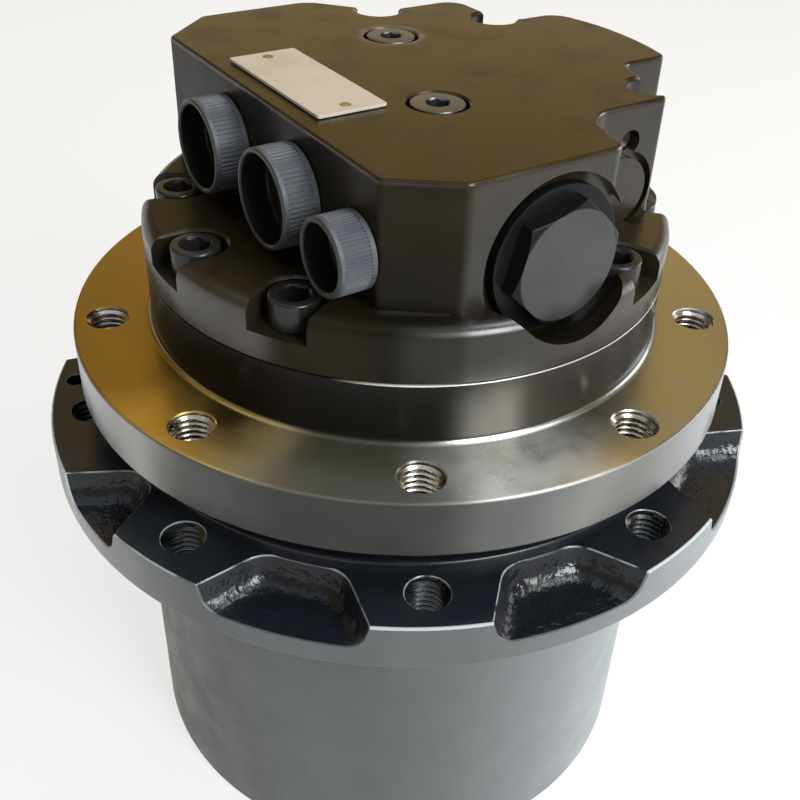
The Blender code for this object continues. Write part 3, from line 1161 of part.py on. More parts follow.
def make_valve(shop):
    """Counterbalance spool and the hexagon plug at each end of its bore."""
    land = SPOOL_LENGTH / (2 * SPOOL_LANDS - 1)
    half = SPOOL_LENGTH / 2
    profile = [(0.0, half)]
    for index in range(2 * SPOOL_LANDS - 1):
        radius = SPOOL_WAIST if index % 2 else SPOOL_RADIUS
        profile += [(radius, half - index * land), (radius, half - (index + 1) * land)]
    profile.append((0.0, -half))
    spool = shop.turned("counterbalance_spool", profile, SMALL_STEPS)
    spool.matrix_world = facing((SPOOL_OFFSET, (BLOCK_FRONT + BLOCK_BACK) / 2, SPOOL_HEIGHT), (0.0, 1.0, 0.0))
    shop.finish(spool, "ground_steel")
    for label, face, outward in (("front", BLOCK_FRONT, -1.0), ("rear", BLOCK_BACK, 1.0)):
        plug = make_valve_plug(shop, f"valve_plug_{label}")
        seat = face - outward * PLUG_SPOTFACE_DEPTH
        plug.matrix_world = facing((SPOOL_OFFSET, seat, SPOOL_HEIGHT), (0.0, outward, 0.0))
        shop.finish(plug, "black_oxide")


def make_valve_plug(shop, name):
    """Screw plug with a round flange, a hexagon and a spring pocket. Its seat is at height zero."""
    flange_top = PLUG_SPOTFACE_DEPTH
    profile = [
        (0.0, flange_top),
        (PLUG_FLANGE, flange_top),
        (PLUG_FLANGE, SEAT_GAP),
        (PLUG_THREAD, SEAT_GAP),
        (PLUG_THREAD, -PLUG_THREAD_LENGTH),
        (PLUG_POCKET, -PLUG_THREAD_LENGTH),
        (PLUG_POCKET, PLUG_POCKET_DEPTH - PLUG_THREAD_LENGTH),
        (0.0, PLUG_POCKET_DEPTH - PLUG_THREAD_LENGTH),
    ]
    plug = shop.turned(name, profile, CAP_STEPS)
    corner = PLUG_HEX_FLATS / 2 / math.cos(math.pi / 6)
    top = flange_top + PLUG_HEX_PROUD
    sides = [on_circle(corner, angle) for angle in spread(6, PLUG_HEX_TURN)]
    hexagon = shop.prism(shop.cutter_name(), sides, flange_top / 2, top, cutter=True)
    envelope = [
        (0.0, top),
        (corner - PLUG_HEX_CHAMFER, top),
        (corner, top - PLUG_HEX_CHAMFER / 2),
        (corner + SEAT_GAP, 0.0),
        (0.0, 0.0),
    ]
    shop.apply(hexagon, shop.turned(shop.cutter_name(), envelope, CAP_STEPS, cutter=True), "INTERSECT")
    return shop.join(plug, hexagon)


def make_port_caps(shop):
    """Push-in transport caps in the oil ports, each a cup with a stem."""
    for number, ((y, rise), radius) in enumerate(zip(PORT_PLACES, PORT_CAP_RADII), start=1):
        stem = radius * PORT_STEM_SHARE
        profile = [
            (0.0, PORT_CAP_FLOOR),
            (radius - PORT_CAP_WALL, PORT_CAP_FLOOR),
            (radius - PORT_CAP_WALL, PORT_CAP_PROUD),
            (radius, PORT_CAP_PROUD),
            (radius, SEAT_GAP),
            (stem, SEAT_GAP),
            (stem, -PORT_STEM_LENGTH),
            (0.0, -PORT_STEM_LENGTH),
        ]
        cap = shop.turned(f"port_cap_{number}", profile, CAP_STEPS)
        cap.matrix_world = facing((BLOCK_LEFT, y, COVER_FLANGE_TOP + rise), (-1.0, 0.0, 0.0))
        shop.finish(cap, "black_plastic")


def make_top_fittings(shop):
    """Two flush plugs and the plain plate on top of the block."""
    for number, (x, y) in enumerate(TOP_PLUG_PLACES, start=1):
        bottom = BLOCK_TOP - TOP_PLUG_LENGTH
        plug = shop.rods(TOP_PLUG_RADIUS, TOP_PLUG_LENGTH, [upright(0.0, 0.0, bottom)], SMALL_STEPS,
                         name=f"top_plug_{number}")
        socket = upright(0.0, 0.0, BLOCK_TOP - TOP_PLUG_SOCKET_DEPTH)
        shop.cut(plug, shop.rods(TOP_PLUG_SOCKET, TOP_PLUG_SOCKET_DEPTH + OVERRUN, [socket], 6))
        plug.location = (x, y, 0.0)
        shop.finish(plug, "plug_steel")
    width, length, thickness = PLATE_SIZE
    x, y = PLATE_CENTRE
    low = (x - width / 2, y - length / 2, BLOCK_TOP + SEAT_GAP)
    high = (x + width / 2, y + length / 2, BLOCK_TOP + SEAT_GAP + thickness)
    plate = shop.block(low, high, name="name_plate")
    middle = BLOCK_TOP + SEAT_GAP + thickness / 2
    inset = length / 2 - PLATE_RIVET_INSET
    rivets = [upright(x, y + side * inset, middle) for side in (-1, 1)]
    shop.join(plate, shop.rods(PLATE_RIVET_RADIUS, thickness / 2 + PLATE_RIVET_PROUD, rivets, TINY_STEPS))
    shop.finish(plate, "plate_metal")


def gather(shop, name, members):
    """Puts the pieces that move as one under an empty on the turning axis."""
    axis = bpy.data.objects.new(name, None)
    axis.empty_display_size = FRAME_FLANGE_RADIUS
    shop.parts.objects.link(axis)
    for made in shop.parts.objects:
        if made.type == "MESH" and made.name.startswith(members):
            made.parent = axis
    return axis


def main():
    clear_scene()
    shop = Workshop()
    make_hub(shop)
    make_end_cover(shop)
    make_stage1(shop)
    make_stage2(shop)
    make_bearings(shop)
    make_seals(shop)
    make_casing(shop)
    make_motor(shop)
    make_rear_cover(shop)
    make_cover_bolts(shop)
    make_valve(shop)
    make_port_caps(shop)
    make_top_fittings(shop)
    gather(shop, "first_stage_axis", ("stage1_", "stage2_sun"))
    gather(shop, "rotor_axis", ("motor_shaft", "cylinder_block", "piston_", "input_sun", "shaft_coupling", "brake_disc"))
    gather(shop, "hub_axis", ("hub_drum", "end_cover", "cover_snap_ring", "oil_plug_", "outer_race_",
                              "seal_ring_turning"))


main()
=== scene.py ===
"""Looks of the planetary track drive with its axial piston motor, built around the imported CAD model.

Metres, +Z up. The origin lies on the turning axis, under the rim of the drum. The valve block's long sides
run along Y and its ports open towards -X.
"""

import json
import logging
import math
from collections.abc import Callable, Iterable
from dataclasses import dataclass
from enum import Enum

import bmesh
import bpy
from bmesh.types import BMEdge, BMesh
from bpy.types import Material, NodeSocket, Object
from mathutils import Matrix, Vector


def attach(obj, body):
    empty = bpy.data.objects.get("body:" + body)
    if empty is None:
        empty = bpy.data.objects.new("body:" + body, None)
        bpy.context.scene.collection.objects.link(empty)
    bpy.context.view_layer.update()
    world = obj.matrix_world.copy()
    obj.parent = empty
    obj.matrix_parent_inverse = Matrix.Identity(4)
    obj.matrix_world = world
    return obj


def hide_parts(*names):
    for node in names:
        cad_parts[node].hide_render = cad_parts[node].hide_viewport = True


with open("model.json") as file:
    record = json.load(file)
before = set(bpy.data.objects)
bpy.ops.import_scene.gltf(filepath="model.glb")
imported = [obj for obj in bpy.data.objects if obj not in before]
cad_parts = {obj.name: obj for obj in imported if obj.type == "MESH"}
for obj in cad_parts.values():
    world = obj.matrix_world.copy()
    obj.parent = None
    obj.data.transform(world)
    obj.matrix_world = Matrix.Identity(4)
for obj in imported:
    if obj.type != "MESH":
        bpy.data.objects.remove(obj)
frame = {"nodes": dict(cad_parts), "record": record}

Span = tuple[float, float]
Ramp = tuple[float, float, float, float]
Section = list[Span]
Colour = tuple[float, float, float]
Place = tuple[float, float, float]

log = logging.getLogger("final_drive")
MM = 0.001
WELD = 0.00001
OVERRUN = 4.0 * MM
ROUND_STEPS = 192
BORE_STEPS = 96
SMALL_STEPS = 48
RIVET_STEPS = 32
CREASE = math.radians(32)
FULL_TURN = 2 * math.pi
# Angle of the front in plan, from +X, in degrees
FRONT = -124.0
# Y and Z of the oil ports, X and Y of the top plugs, X and Z of the spool bore
PORTS = ((25.0 * MM, 213.2 * MM), (-14.5 * MM, 213.2 * MM), (-45.0 * MM, 210.7 * MM))
PORT_FACE = -44.0 * MM
TOP_PLUGS = ((16.0 * MM, 35.6 * MM), (-4.5 * MM, -19.7 * MM))
SPOOL_X = 1.0 * MM
SPOOL_Z = 206.2 * MM
BACKWARD = (0.0, 1.0, 0.0)
WHITE = (1.0, 1.0, 1.0)


class Cut(Enum):
    """What a tool does to a body."""

    AWAY = "DIFFERENCE"
    ONTO = "UNION"
    WITHIN = "INTERSECT"


# Shapes


def polar(radius: float, degrees: float) -> tuple[float, float]:
    """A plan point on a circle round the turning axis."""
    angle = math.radians(degrees)
    return radius * math.cos(angle), radius * math.sin(angle)


def around(circle: float, first: float, count: int) -> list[Matrix]:
    """Evenly spaced places on a circle, the first at an angle in degrees."""
    return [Matrix.Translation((*polar(circle, first + 360.0 / count * index), 0.0))
            for index in range(count)]


def facing(place: Place, direction: Place) -> Matrix:
    """A matrix at a place whose own Z points along a direction."""
    turn = Vector((0.0, 0.0, 1.0)).rotation_difference(Vector(direction)).to_matrix().to_4x4()
    return Matrix.Translation(place) @ turn


def spun(section: Section, steps: int) -> BMesh:
    """Turns a section once round Z.

    Args:
        section: (radius, height) points, a closed loop unless it starts and ends on the axis.
        steps: Facets in the full turn.

    Returns:
        A closed shape with its faces outward.
    """
    shape = bmesh.new()
    points = [shape.verts.new((radius, 0.0, height)) for radius, height in section]
    pairs = list(zip(points, points[1:]))
    if section[0][0] > 0.0:
        pairs.append((points[-1], points[0]))
    lines = [shape.edges.new(pair) for pair in pairs]
    bmesh.ops.spin(shape, geom=points + lines, cent=(0.0, 0.0, 0.0), axis=(0.0, 0.0, 1.0), angle=FULL_TURN,
                   steps=steps, use_merge=True)
    bmesh.ops.remove_doubles(shape, verts=shape.verts, dist=WELD)
    bmesh.ops.dissolve_degenerate(shape, edges=shape.edges, dist=WELD)
    bmesh.ops.recalc_face_normals(shape, faces=shape.faces)
    return shape


def raised(outline: Iterable[Span], low: float, high: float) -> BMesh:
    """Raises a flat outline to a prism.

    Args:
        outline: Plan points in order.
        low: Height of the floor.
        high: Height of the top.

    Returns:
        The prism, its faces outward.
    """
    shape = bmesh.new()
    points = [shape.verts.new((x, y, low)) for x, y in outline]
    lines = [shape.edges.new(pair) for pair in zip(points, points[1:] + points[:1])]
    floor = bmesh.ops.contextual_create(shape, geom=lines)["faces"]
    grown = bmesh.ops.extrude_face_region(shape, geom=floor, use_keep_orig=True)["geom"]
    lifted = [item for item in grown if isinstance(item, bmesh.types.BMVert)]
    bmesh.ops.translate(shape, verts=lifted, vec=(0.0, 0.0, high - low))
    bmesh.ops.recalc_face_normals(shape, faces=shape.faces)
    return shape


def lofted(levels: list[tuple[Section, float]]) -> BMesh:
    """Joins flat outlines with equally many points, one above the other, to one closed body.

    Args:
        levels: The outlines with their heights, lowest first.

    Returns:
        The body, its faces outward.
    """
    shape = bmesh.new()
    rows = [[shape.verts.new((x, y, height)) for x, y in outline] for outline, height in levels]
    for lower, upper in zip(rows, rows[1:]):
        for index, vert in enumerate(lower):
            after = (index + 1) % len(lower)
            shape.faces.new((vert, lower[after], upper[after], upper[index]))
    shape.faces.new(rows[0][::-1])
    shape.faces.new(rows[-1])
    bmesh.ops.recalc_face_normals(shape, faces=shape.faces)
    return shape


def pick(shape: BMesh, test: Callable[[Vector, Vector], bool]) -> list[BMEdge]:
    """The edges whose two ends pass a test."""
    return [edge for edge in shape.edges if test(edge.verts[0].co, edge.verts[1].co)]


def ring(shape: BMesh, radius: float, height: float) -> list[BMEdge]:
    """The edges of one circle of a turned shape."""
    def on_it(point: Vector) -> bool:
        return abs(point.xy.length - radius) < WELD * 2 and abs(point.z - height) < WELD * 2
    return pick(shape, lambda a, b: on_it(a) and on_it(b))


def upright(shape: BMesh, place: tuple[float, float]) -> list[BMEdge]:
    """The upright edge of a prism at a plan point."""
    def on_it(point: Vector) -> bool:
        return (point.xy - Vector(place)).length < WELD * 4
    return pick(shape, lambda a, b: on_it(a) and on_it(b))


def level(shape: BMesh, height: float) -> list[BMEdge]:
    """The edges of a flat cap at a height."""
    return [edge for edge in pick(shape, lambda a, b: max(abs(a.z - height), abs(b.z - height)) < WELD)
            if len(edge.link_faces) == 2 and edge.calc_face_angle(0.0) > CREASE]


def soften(shape: BMesh, edges: list[BMEdge], width: float, segments: int = 3) -> None:
    """Rounds edges, or chamfers them with one segment."""
    if edges:
        bmesh.ops.bevel(shape, geom=edges, offset=width, offset_type="OFFSET", affect="EDGES",
                        segments=segments, profile=0.5, material=-1, clamp_overlap=True)


def rounded(shape: BMesh, *circles: tuple[float, float, float, int]) -> None:
    """Softens circles of a turned shape, each a radius, a height, a width and a number of segments."""
    for radius, height, width, segments in circles:
        soften(shape, ring(shape, radius, height), width, segments)


def corner_of(flats: float) -> float:
    """Distance from the middle of a hexagon to its corners, from its width across the flats."""
    return flats / 2 / math.cos(math.pi / 6)


def hexagon(flats: float, low: float, high: float, turn: float = 0.0) -> BMesh:
    """A six-sided prism measured across its flats, its first corner at an angle in degrees."""
    return raised([polar(corner_of(flats), 60.0 * side + turn) for side in range(6)], low, high)


def flare(shape: BMesh, height: float, rise: float) -> None:
    """Widens a tool above its flat top all round, so that it also breaks the edge that it cuts.

    Args:
        shape: The tool. Its flat top lies at the height.
        height: Height at which it starts to widen.
        rise: How far it rises and widens.
    """
    caps = [face for face in shape.faces
            if abs(face.calc_center_median().z - height) < WELD and abs(face.normal.z) > 0.9]
    grown = bmesh.ops.extrude_face_region(shape, geom=caps)["geom"]
    lifted = [item for item in grown if isinstance(item, bmesh.types.BMVert)]
    bmesh.ops.delete(shape, geom=caps, context="FACES_ONLY")
    bmesh.ops.translate(shape, verts=lifted, vec=(0.0, 0.0, rise))
    bmesh.ops.recalc_face_normals(shape, faces=shape.faces)
    shape.normal_update()
    moves = [(vert, Vector((vert.normal.x, vert.normal.y, 0.0))) for vert in lifted]
    for vert, out in moves:
        if out.length > WELD:
            vert.co += out.normalized() * rise


def repeated(shape: BMesh, places: Iterable[Matrix]) -> BMesh:
    """One copy of a shape at each place, in one mesh. The shape itself is used up."""
    pattern = bpy.data.meshes.new("pattern")
    shape.to_mesh(pattern)
    shape.free()
    whole = bmesh.new()
    for place in places:
        known = len(whole.verts)
        whole.from_mesh(pattern)
        whole.verts.ensure_lookup_table()
        bmesh.ops.transform(whole, matrix=place, verts=whole.verts[known:])
    bpy.data.meshes.remove(pattern)
    bmesh.ops.recalc_face_normals(whole, faces=whole.faces)
    return whole


def placed(shape: BMesh, place: Matrix) -> BMesh:
    """Moves a shape to its place."""
    bmesh.ops.transform(shape, matrix=place, verts=shape.verts)
    return shape


def body_of(name: str, shape: BMesh) -> Object:
    """An object of a shape. The shape is used up."""
    mesh = bpy.data.meshes.new(name)
    shape.to_mesh(mesh)
    shape.free()
    made = bpy.data.objects.new(name, mesh)
    bpy.context.scene.collection.objects.link(made)
    return made


def work(made: Object, tool: BMesh, cut: Cut = Cut.AWAY) -> Object:
    """Cuts a tool away from a body, or joins it on, and keeps the result as the body's mesh.

    Args:
        made: The body.
        tool: The tool's shape, which is used up.
        cut: What the tool does.

    Returns:
        The body.
    """
    cutter = body_of("tool", tool)
    step = made.modifiers.new("cut", "BOOLEAN")
    step.operation = cut.value
    step.solver = "EXACT"
    step.object = cutter
    graph = bpy.context.evaluated_depsgraph_get()
    graph.update()
    result = bpy.data.meshes.new_from_object(made.evaluated_get(graph))
    made.modifiers.clear()
    old = made.data
    made.data = result
    bpy.data.meshes.remove(old)
    bpy.data.meshes.remove(cutter.data)
    shape = bmesh.new()
    shape.from_mesh(result)
    bmesh.ops.dissolve_degenerate(shape, edges=shape.edges, dist=WELD)
    shape.to_mesh(result)
    shape.free()
    return made


def settle(made: Object, material: Material, body: str, nodes: Iterable[str] = (),
           crease: float = CREASE) -> Object:
    """Shades a finished piece, gives it its material, hangs it on the body that it moves with and hides the
    CAD nodes that it stands for.

    Args:
        made: The piece.
        material: Its finish.
        body: The CAD body that it moves with.
        nodes: The CAD nodes that it stands for.
        crease: Edges sharper than this stay sharp.

    Returns:
        The piece.
    """
    made.data.name = made.name
    made.data.shade_smooth()
    made.data.set_sharp_from_angle(angle=crease)
    made.data.materials.clear()
    made.data.materials.append(material)
    weights = made.modifiers.new("face_weights", "WEIGHTED_NORMAL")
    weights.keep_sharp = True
    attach(made, body)
    if nodes:
        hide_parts(*nodes)
    log.info("%s: %d faces", made.name, len(made.data.polygons))
    return made


# Materials


def scaled(colour: Colour, share: float) -> Colour:
    """A colour made lighter or darker."""
    return tuple(part * share for part in colour)


class Recipe:
    """One material's nodes, from Object coordinates to its shader."""

    def __init__(self, name: str) -> None:
        """Starts the material with its Object coordinates split into parts."""
        self.material = bpy.data.materials.new(name)
        self.material.use_nodes = True
        self.tree = self.material.node_tree
        self.shader = self.tree.nodes["Principled BSDF"]
        self.place = self.node("ShaderNodeTexCoord").outputs["Object"]
        split = self.node("ShaderNodeSeparateXYZ")
        self.tree.links.new(self.place, split.inputs["Vector"])
        self.x, self.y, self.z = split.outputs

    def node(self, kind: str) -> bpy.types.Node:
        """A new node of a kind."""
        return self.tree.nodes.new(kind)

    def feed(self, socket: NodeSocket, value: object) -> None:
        """Joins a socket to a node's output, or sets it to a constant."""
        if isinstance(value, NodeSocket):
            self.tree.links.new(value, socket)
        elif isinstance(value, tuple) and socket.type == "RGBA":
            socket.default_value = (*value, 1.0)
        else:
            socket.default_value = value

    def shade(self, **values: object) -> None:
        """Sets the shader's sockets, named with underscores for their spaces."""
        for name, value in values.items():
            self.feed(self.shader.inputs[name.replace("_", " ").title().replace("Ior", "IOR")], value)

    def sum(self, operation: str, first: object, second: object = 0.0) -> NodeSocket:
        """One step of arithmetic."""
        step = self.node("ShaderNodeMath")
        step.operation = operation
        self.feed(step.inputs[0], first)
        self.feed(step.inputs[1], second)
        return step.outputs[0]

    def chain(self, operation: str, values: tuple[object, ...]) -> NodeSocket:
        """The same arithmetic from the first value to the last."""
        total = values[0]
        for value in values[1:]:
            total = self.sum(operation, total, value)
        return total

    def plus(self, *values: object) -> NodeSocket:
        """Adds values."""
        return self.chain("ADD", values)

    def times(self, *values: object) -> NodeSocket:
        """Multiplies values."""
        return self.chain("MULTIPLY", values)

    def less(self, first: object, second: object) -> NodeSocket:
        """The first value less the second."""
        return self.sum("SUBTRACT", first, second)

    def most(self, first: object, second: object) -> NodeSocket:
        """The greater of two values."""
        return self.sum("MAXIMUM", first, second)

    def least(self, first: object, second: object) -> NodeSocket:
        """The smaller of two values."""
        return self.sum("MINIMUM", first, second)

    def away(self, first: NodeSocket, second: NodeSocket) -> NodeSocket:
        """Distance of a point whose two offsets are given."""
        return self.sum("SQRT", self.plus(self.times(first, first), self.times(second, second)))

    def radius(self) -> NodeSocket:
        """Distance from the turning axis."""
        return self.away(self.x, self.y)

    def bearing(self) -> NodeSocket:
        """Angle round the turning axis in degrees, zero towards the front and rising to the right."""
        turn = math.radians(-FRONT)
        ahead = self.less(self.times(self.x, math.cos(turn)), self.times(self.y, math.sin(turn)))
        aside = self.plus(self.times(self.x, math.sin(turn)), self.times(self.y, math.cos(turn)))
        return self.sum("DEGREES", self.sum("ARCTAN2", aside, ahead))

    def span(self, value: NodeSocket, low: float, high: float, first: float = 0.0,
             last: float = 1.0) -> NodeSocket:
        """Takes a value between two limits to a value between two others, smoothly and clamped."""
        step = self.node("ShaderNodeMapRange")
        step.interpolation_type = "SMOOTHSTEP"
        for name, limit in (("From Min", low), ("From Max", high), ("To Min", first), ("To Max", last)):
            step.inputs[name].default_value = limit
        self.feed(step.inputs["Value"], value)
        return step.outputs["Result"]

    def fall(self, value: NodeSocket, low: float, high: float) -> NodeSocket:
        """One below two limits and nought above them."""
        return self.span(value, low, high, 1.0, 0.0)

    def between(self, value: NodeSocket, low: float, high: float, fade: float) -> NodeSocket:
        """One between two limits and nought outside them, with soft ends."""
        return self.times(self.span(value, low - fade, low + fade),
                          self.fall(value, high - fade, high + fade))

    def noise(self, scale: float, detail: float = 3.0, roughness: float = 0.55, place: object = None,
              stretch: tuple[float, float, float] = (1.0, 1.0, 1.0)) -> NodeSocket:
        """A soft noise, features about 1 / scale metres wide."""
        step = self.node("ShaderNodeTexNoise")
        step.inputs["Scale"].default_value = scale
        step.inputs["Detail"].default_value = detail
        step.inputs["Roughness"].default_value = roughness
        mapping = self.node("ShaderNodeMapping")
        mapping.inputs["Scale"].default_value = stretch
        self.feed(mapping.inputs["Vector"], place or self.place)
        self.feed(step.inputs["Vector"], mapping.outputs["Vector"])
        return step.outputs["Fac"]

    def cells(self, scale: float, jitter: float = 1.0) -> NodeSocket:
        """Distance to the nearest of many scattered points."""
        step = self.node("ShaderNodeTexVoronoi")
        step.inputs["Scale"].default_value = scale
        step.inputs["Randomness"].default_value = jitter
        self.feed(step.inputs["Vector"], self.place)
        return step.outputs["Distance"]

    def along(self, x: object, y: object, z: object) -> NodeSocket:
        """A vector of three values."""
        step = self.node("ShaderNodeCombineXYZ")
        for socket, value in zip(step.inputs, (x, y, z)):
            self.feed(socket, value)
        return step.outputs["Vector"]

    def lathe(self, spread: float) -> None:
        """Stretches highlights across the tool marks of a turned surface."""
        marks = self.node("ShaderNodeVectorTransform")
        marks.vector_type = "VECTOR"
        marks.convert_from = "OBJECT"
        marks.convert_to = "WORLD"
        self.feed(marks.inputs["Vector"], self.along(self.times(self.y, -1.0), self.x, 0.0))
        self.shade(anisotropic=spread, anisotropic_rotation=0.25, tangent=marks.outputs["Vector"])

    def blend(self, share: object, first: object, second: object) -> NodeSocket:
        """Mixes two colours."""
        step = self.node("ShaderNodeMix")
        step.data_type = "RGBA"
        self.feed(step.inputs[0], share)
        self.feed(step.inputs[6], first)
        self.feed(step.inputs[7], second)
        return step.outputs[2]

    def bump(self, height: NodeSocket, depth: float, strength: object = 1.0,
             below: NodeSocket | None = None) -> NodeSocket:
        """Relief of a height, in metres, over another relief."""
        step = self.node("ShaderNodeBump")
        step.inputs["Distance"].default_value = depth
        self.feed(step.inputs["Strength"], strength)
        self.feed(step.inputs["Height"], height)
        if below:
            self.feed(step.inputs["Normal"], below)
        return step.outputs["Normal"]


@dataclass(frozen=True)
class BlockPaint:
    """Thin black paint on the machined valve block: smooth, with a painted brown reflection in wide patches
    over it.

    Bearings are in degrees, nought towards the front. How much a side mirrors depends on its bearing.
    """

    name: str
    colour: Colour
    # Brown of the painted reflection, in wide patches over the black
    painted_reflection: Colour
    bare: Colour = (0.16, 0.14, 0.13)
    bare_share: float = 0.55
    # Tint of the reflections on the flat top, a painted warm reflection
    golden: Colour = (1.0, 0.84, 0.50)
    rough: Span = (0.22, 0.37)
    mirror: float = 0.34
    grain: float = 0.035 * MM
    wave: float = 0.35 * MM
    halo: Span = (11.5 * MM, 15.0 * MM)
    halo_ragged: float = 7.0 * MM
    bore: Span = (22.45 * MM, 22.7 * MM)
    bore_depth: Span = (-65.8 * MM, -50.0 * MM)
    bore_side: Span = (8.0 * MM, 13.0 * MM)
    bore_mirror: float = 0.05
    foot: float = 197.7 * MM
    top: float = 231.6 * MM
    dull: float = 0.24
    dull_block: Span = (-120.0, 11.8)
    dull_flange: Span = (-24.0, 0.0)
    right: Span = (10.4, 13.2)
    right_end: Span = (110.0, 170.0)
    right_mirror: float = 0.26
    left: Span = (-52.0, -26.0)
    left_mirror: float = 0.55
    brink_mirror: float = 0.35
    step: Span = (-8.0, 13.0)
    step_radius: Span = (70.6 * MM, 70.8 * MM)
    step_mirror: float = 1.2

    def worn(self, recipe: Recipe) -> NodeSocket:
        """The rubbed ring round the rear top plug, ragged at its edge."""
        x, y = TOP_PLUGS[0]
        away = recipe.away(recipe.less(recipe.x, x), recipe.less(recipe.y, y))
        ragged = recipe.plus(away, recipe.times(recipe.noise(230.0, 5.0, 0.7), self.halo_ragged))
        flat = recipe.span(recipe.z, self.top - 0.2 * MM, self.top)
        return recipe.times(recipe.fall(ragged, *self.halo), flat)

    def mirrors(self, recipe: Recipe, bearing: NodeSocket) -> NodeSocket:
        """How much the sides mirror: little at the front, more at both sides, hardly in the spool bore."""
        sides = recipe.fall(recipe.z, self.top - 1.2 * MM, self.top - 0.6 * MM)
        flange = recipe.fall(recipe.z, self.foot - 1.0 * MM, self.foot)
        dull = recipe.blend(flange, recipe.between(bearing, *self.dull_block, 1.6),
                            recipe.between(bearing, *self.dull_flange, 3.0))
        right = recipe.times(sides, recipe.span(bearing, *self.right, 0.0, self.right_mirror),
                             recipe.fall(bearing, *self.right_end))
        left = recipe.times(flange, recipe.between(bearing, *self.left, 3.0), self.left_mirror)
        mirror = recipe.plus(recipe.less(self.mirror, recipe.times(sides, dull, self.dull)), right, left)
        off = recipe.away(recipe.less(recipe.x, SPOOL_X), recipe.less(recipe.z, SPOOL_Z))
        inside = recipe.times(recipe.fall(off, *self.bore),
                              recipe.between(recipe.y, *self.bore_depth, 0.1 * MM),
                              recipe.span(recipe.x, *self.bore_side, 1.0, 0.25))
        return recipe.times(mirror, recipe.span(inside, 0.0, 1.0, 1.0, self.bore_mirror))

    def edges(self, recipe: Recipe, bearing: NodeSocket) -> NodeSocket:
        """The glint on the top edge and on the step at the block's foot."""
        brink = recipe.times(recipe.between(recipe.z, self.top - 0.45 * MM, self.top + 0.15 * MM, 0.08 * MM),
                             recipe.span(recipe.noise(60.0, 3.0), 0.32, 0.5), self.brink_mirror)
        step = recipe.times(recipe.between(recipe.z, self.foot - 0.1 * MM, self.foot + 0.5 * MM, 0.05 * MM),
                            recipe.between(bearing, *self.step, 1.0),
                            recipe.fall(recipe.radius(), *self.step_radius), self.step_mirror)
        return recipe.most(brink, step)

    def make(self) -> Material:
        """Builds the material."""
        recipe = Recipe(self.name)
        bearing = recipe.bearing()
        wide = recipe.noise(16.0, 3.0)
        # Painted reflection: brown patches mottled over the black paint
        tint = recipe.blend(recipe.span(wide, 0.36, 0.68), self.colour, self.painted_reflection)
        worn = recipe.times(self.worn(recipe), self.bare_share)
        recipe.shade(base_color=recipe.blend(worn, tint, self.bare))
        recipe.shade(roughness=recipe.span(recipe.noise(70.0, 4.0), 0.3, 0.72, *self.rough))
        mirror = recipe.plus(self.mirrors(recipe, bearing), self.edges(recipe, bearing))
        recipe.shade(specular_ior_level=mirror)
        # The flat top's reflections are tinted golden: a painted warm reflection
        flat = recipe.span(recipe.z, self.top - 0.3 * MM, self.top)
        recipe.shade(specular_tint=recipe.blend(flat, WHITE, self.golden))
        fine = recipe.bump(recipe.noise(520.0, 3.0), self.grain, 0.35)
        recipe.shade(normal=recipe.bump(wide, self.wave, 0.12, fine))
        return recipe.material


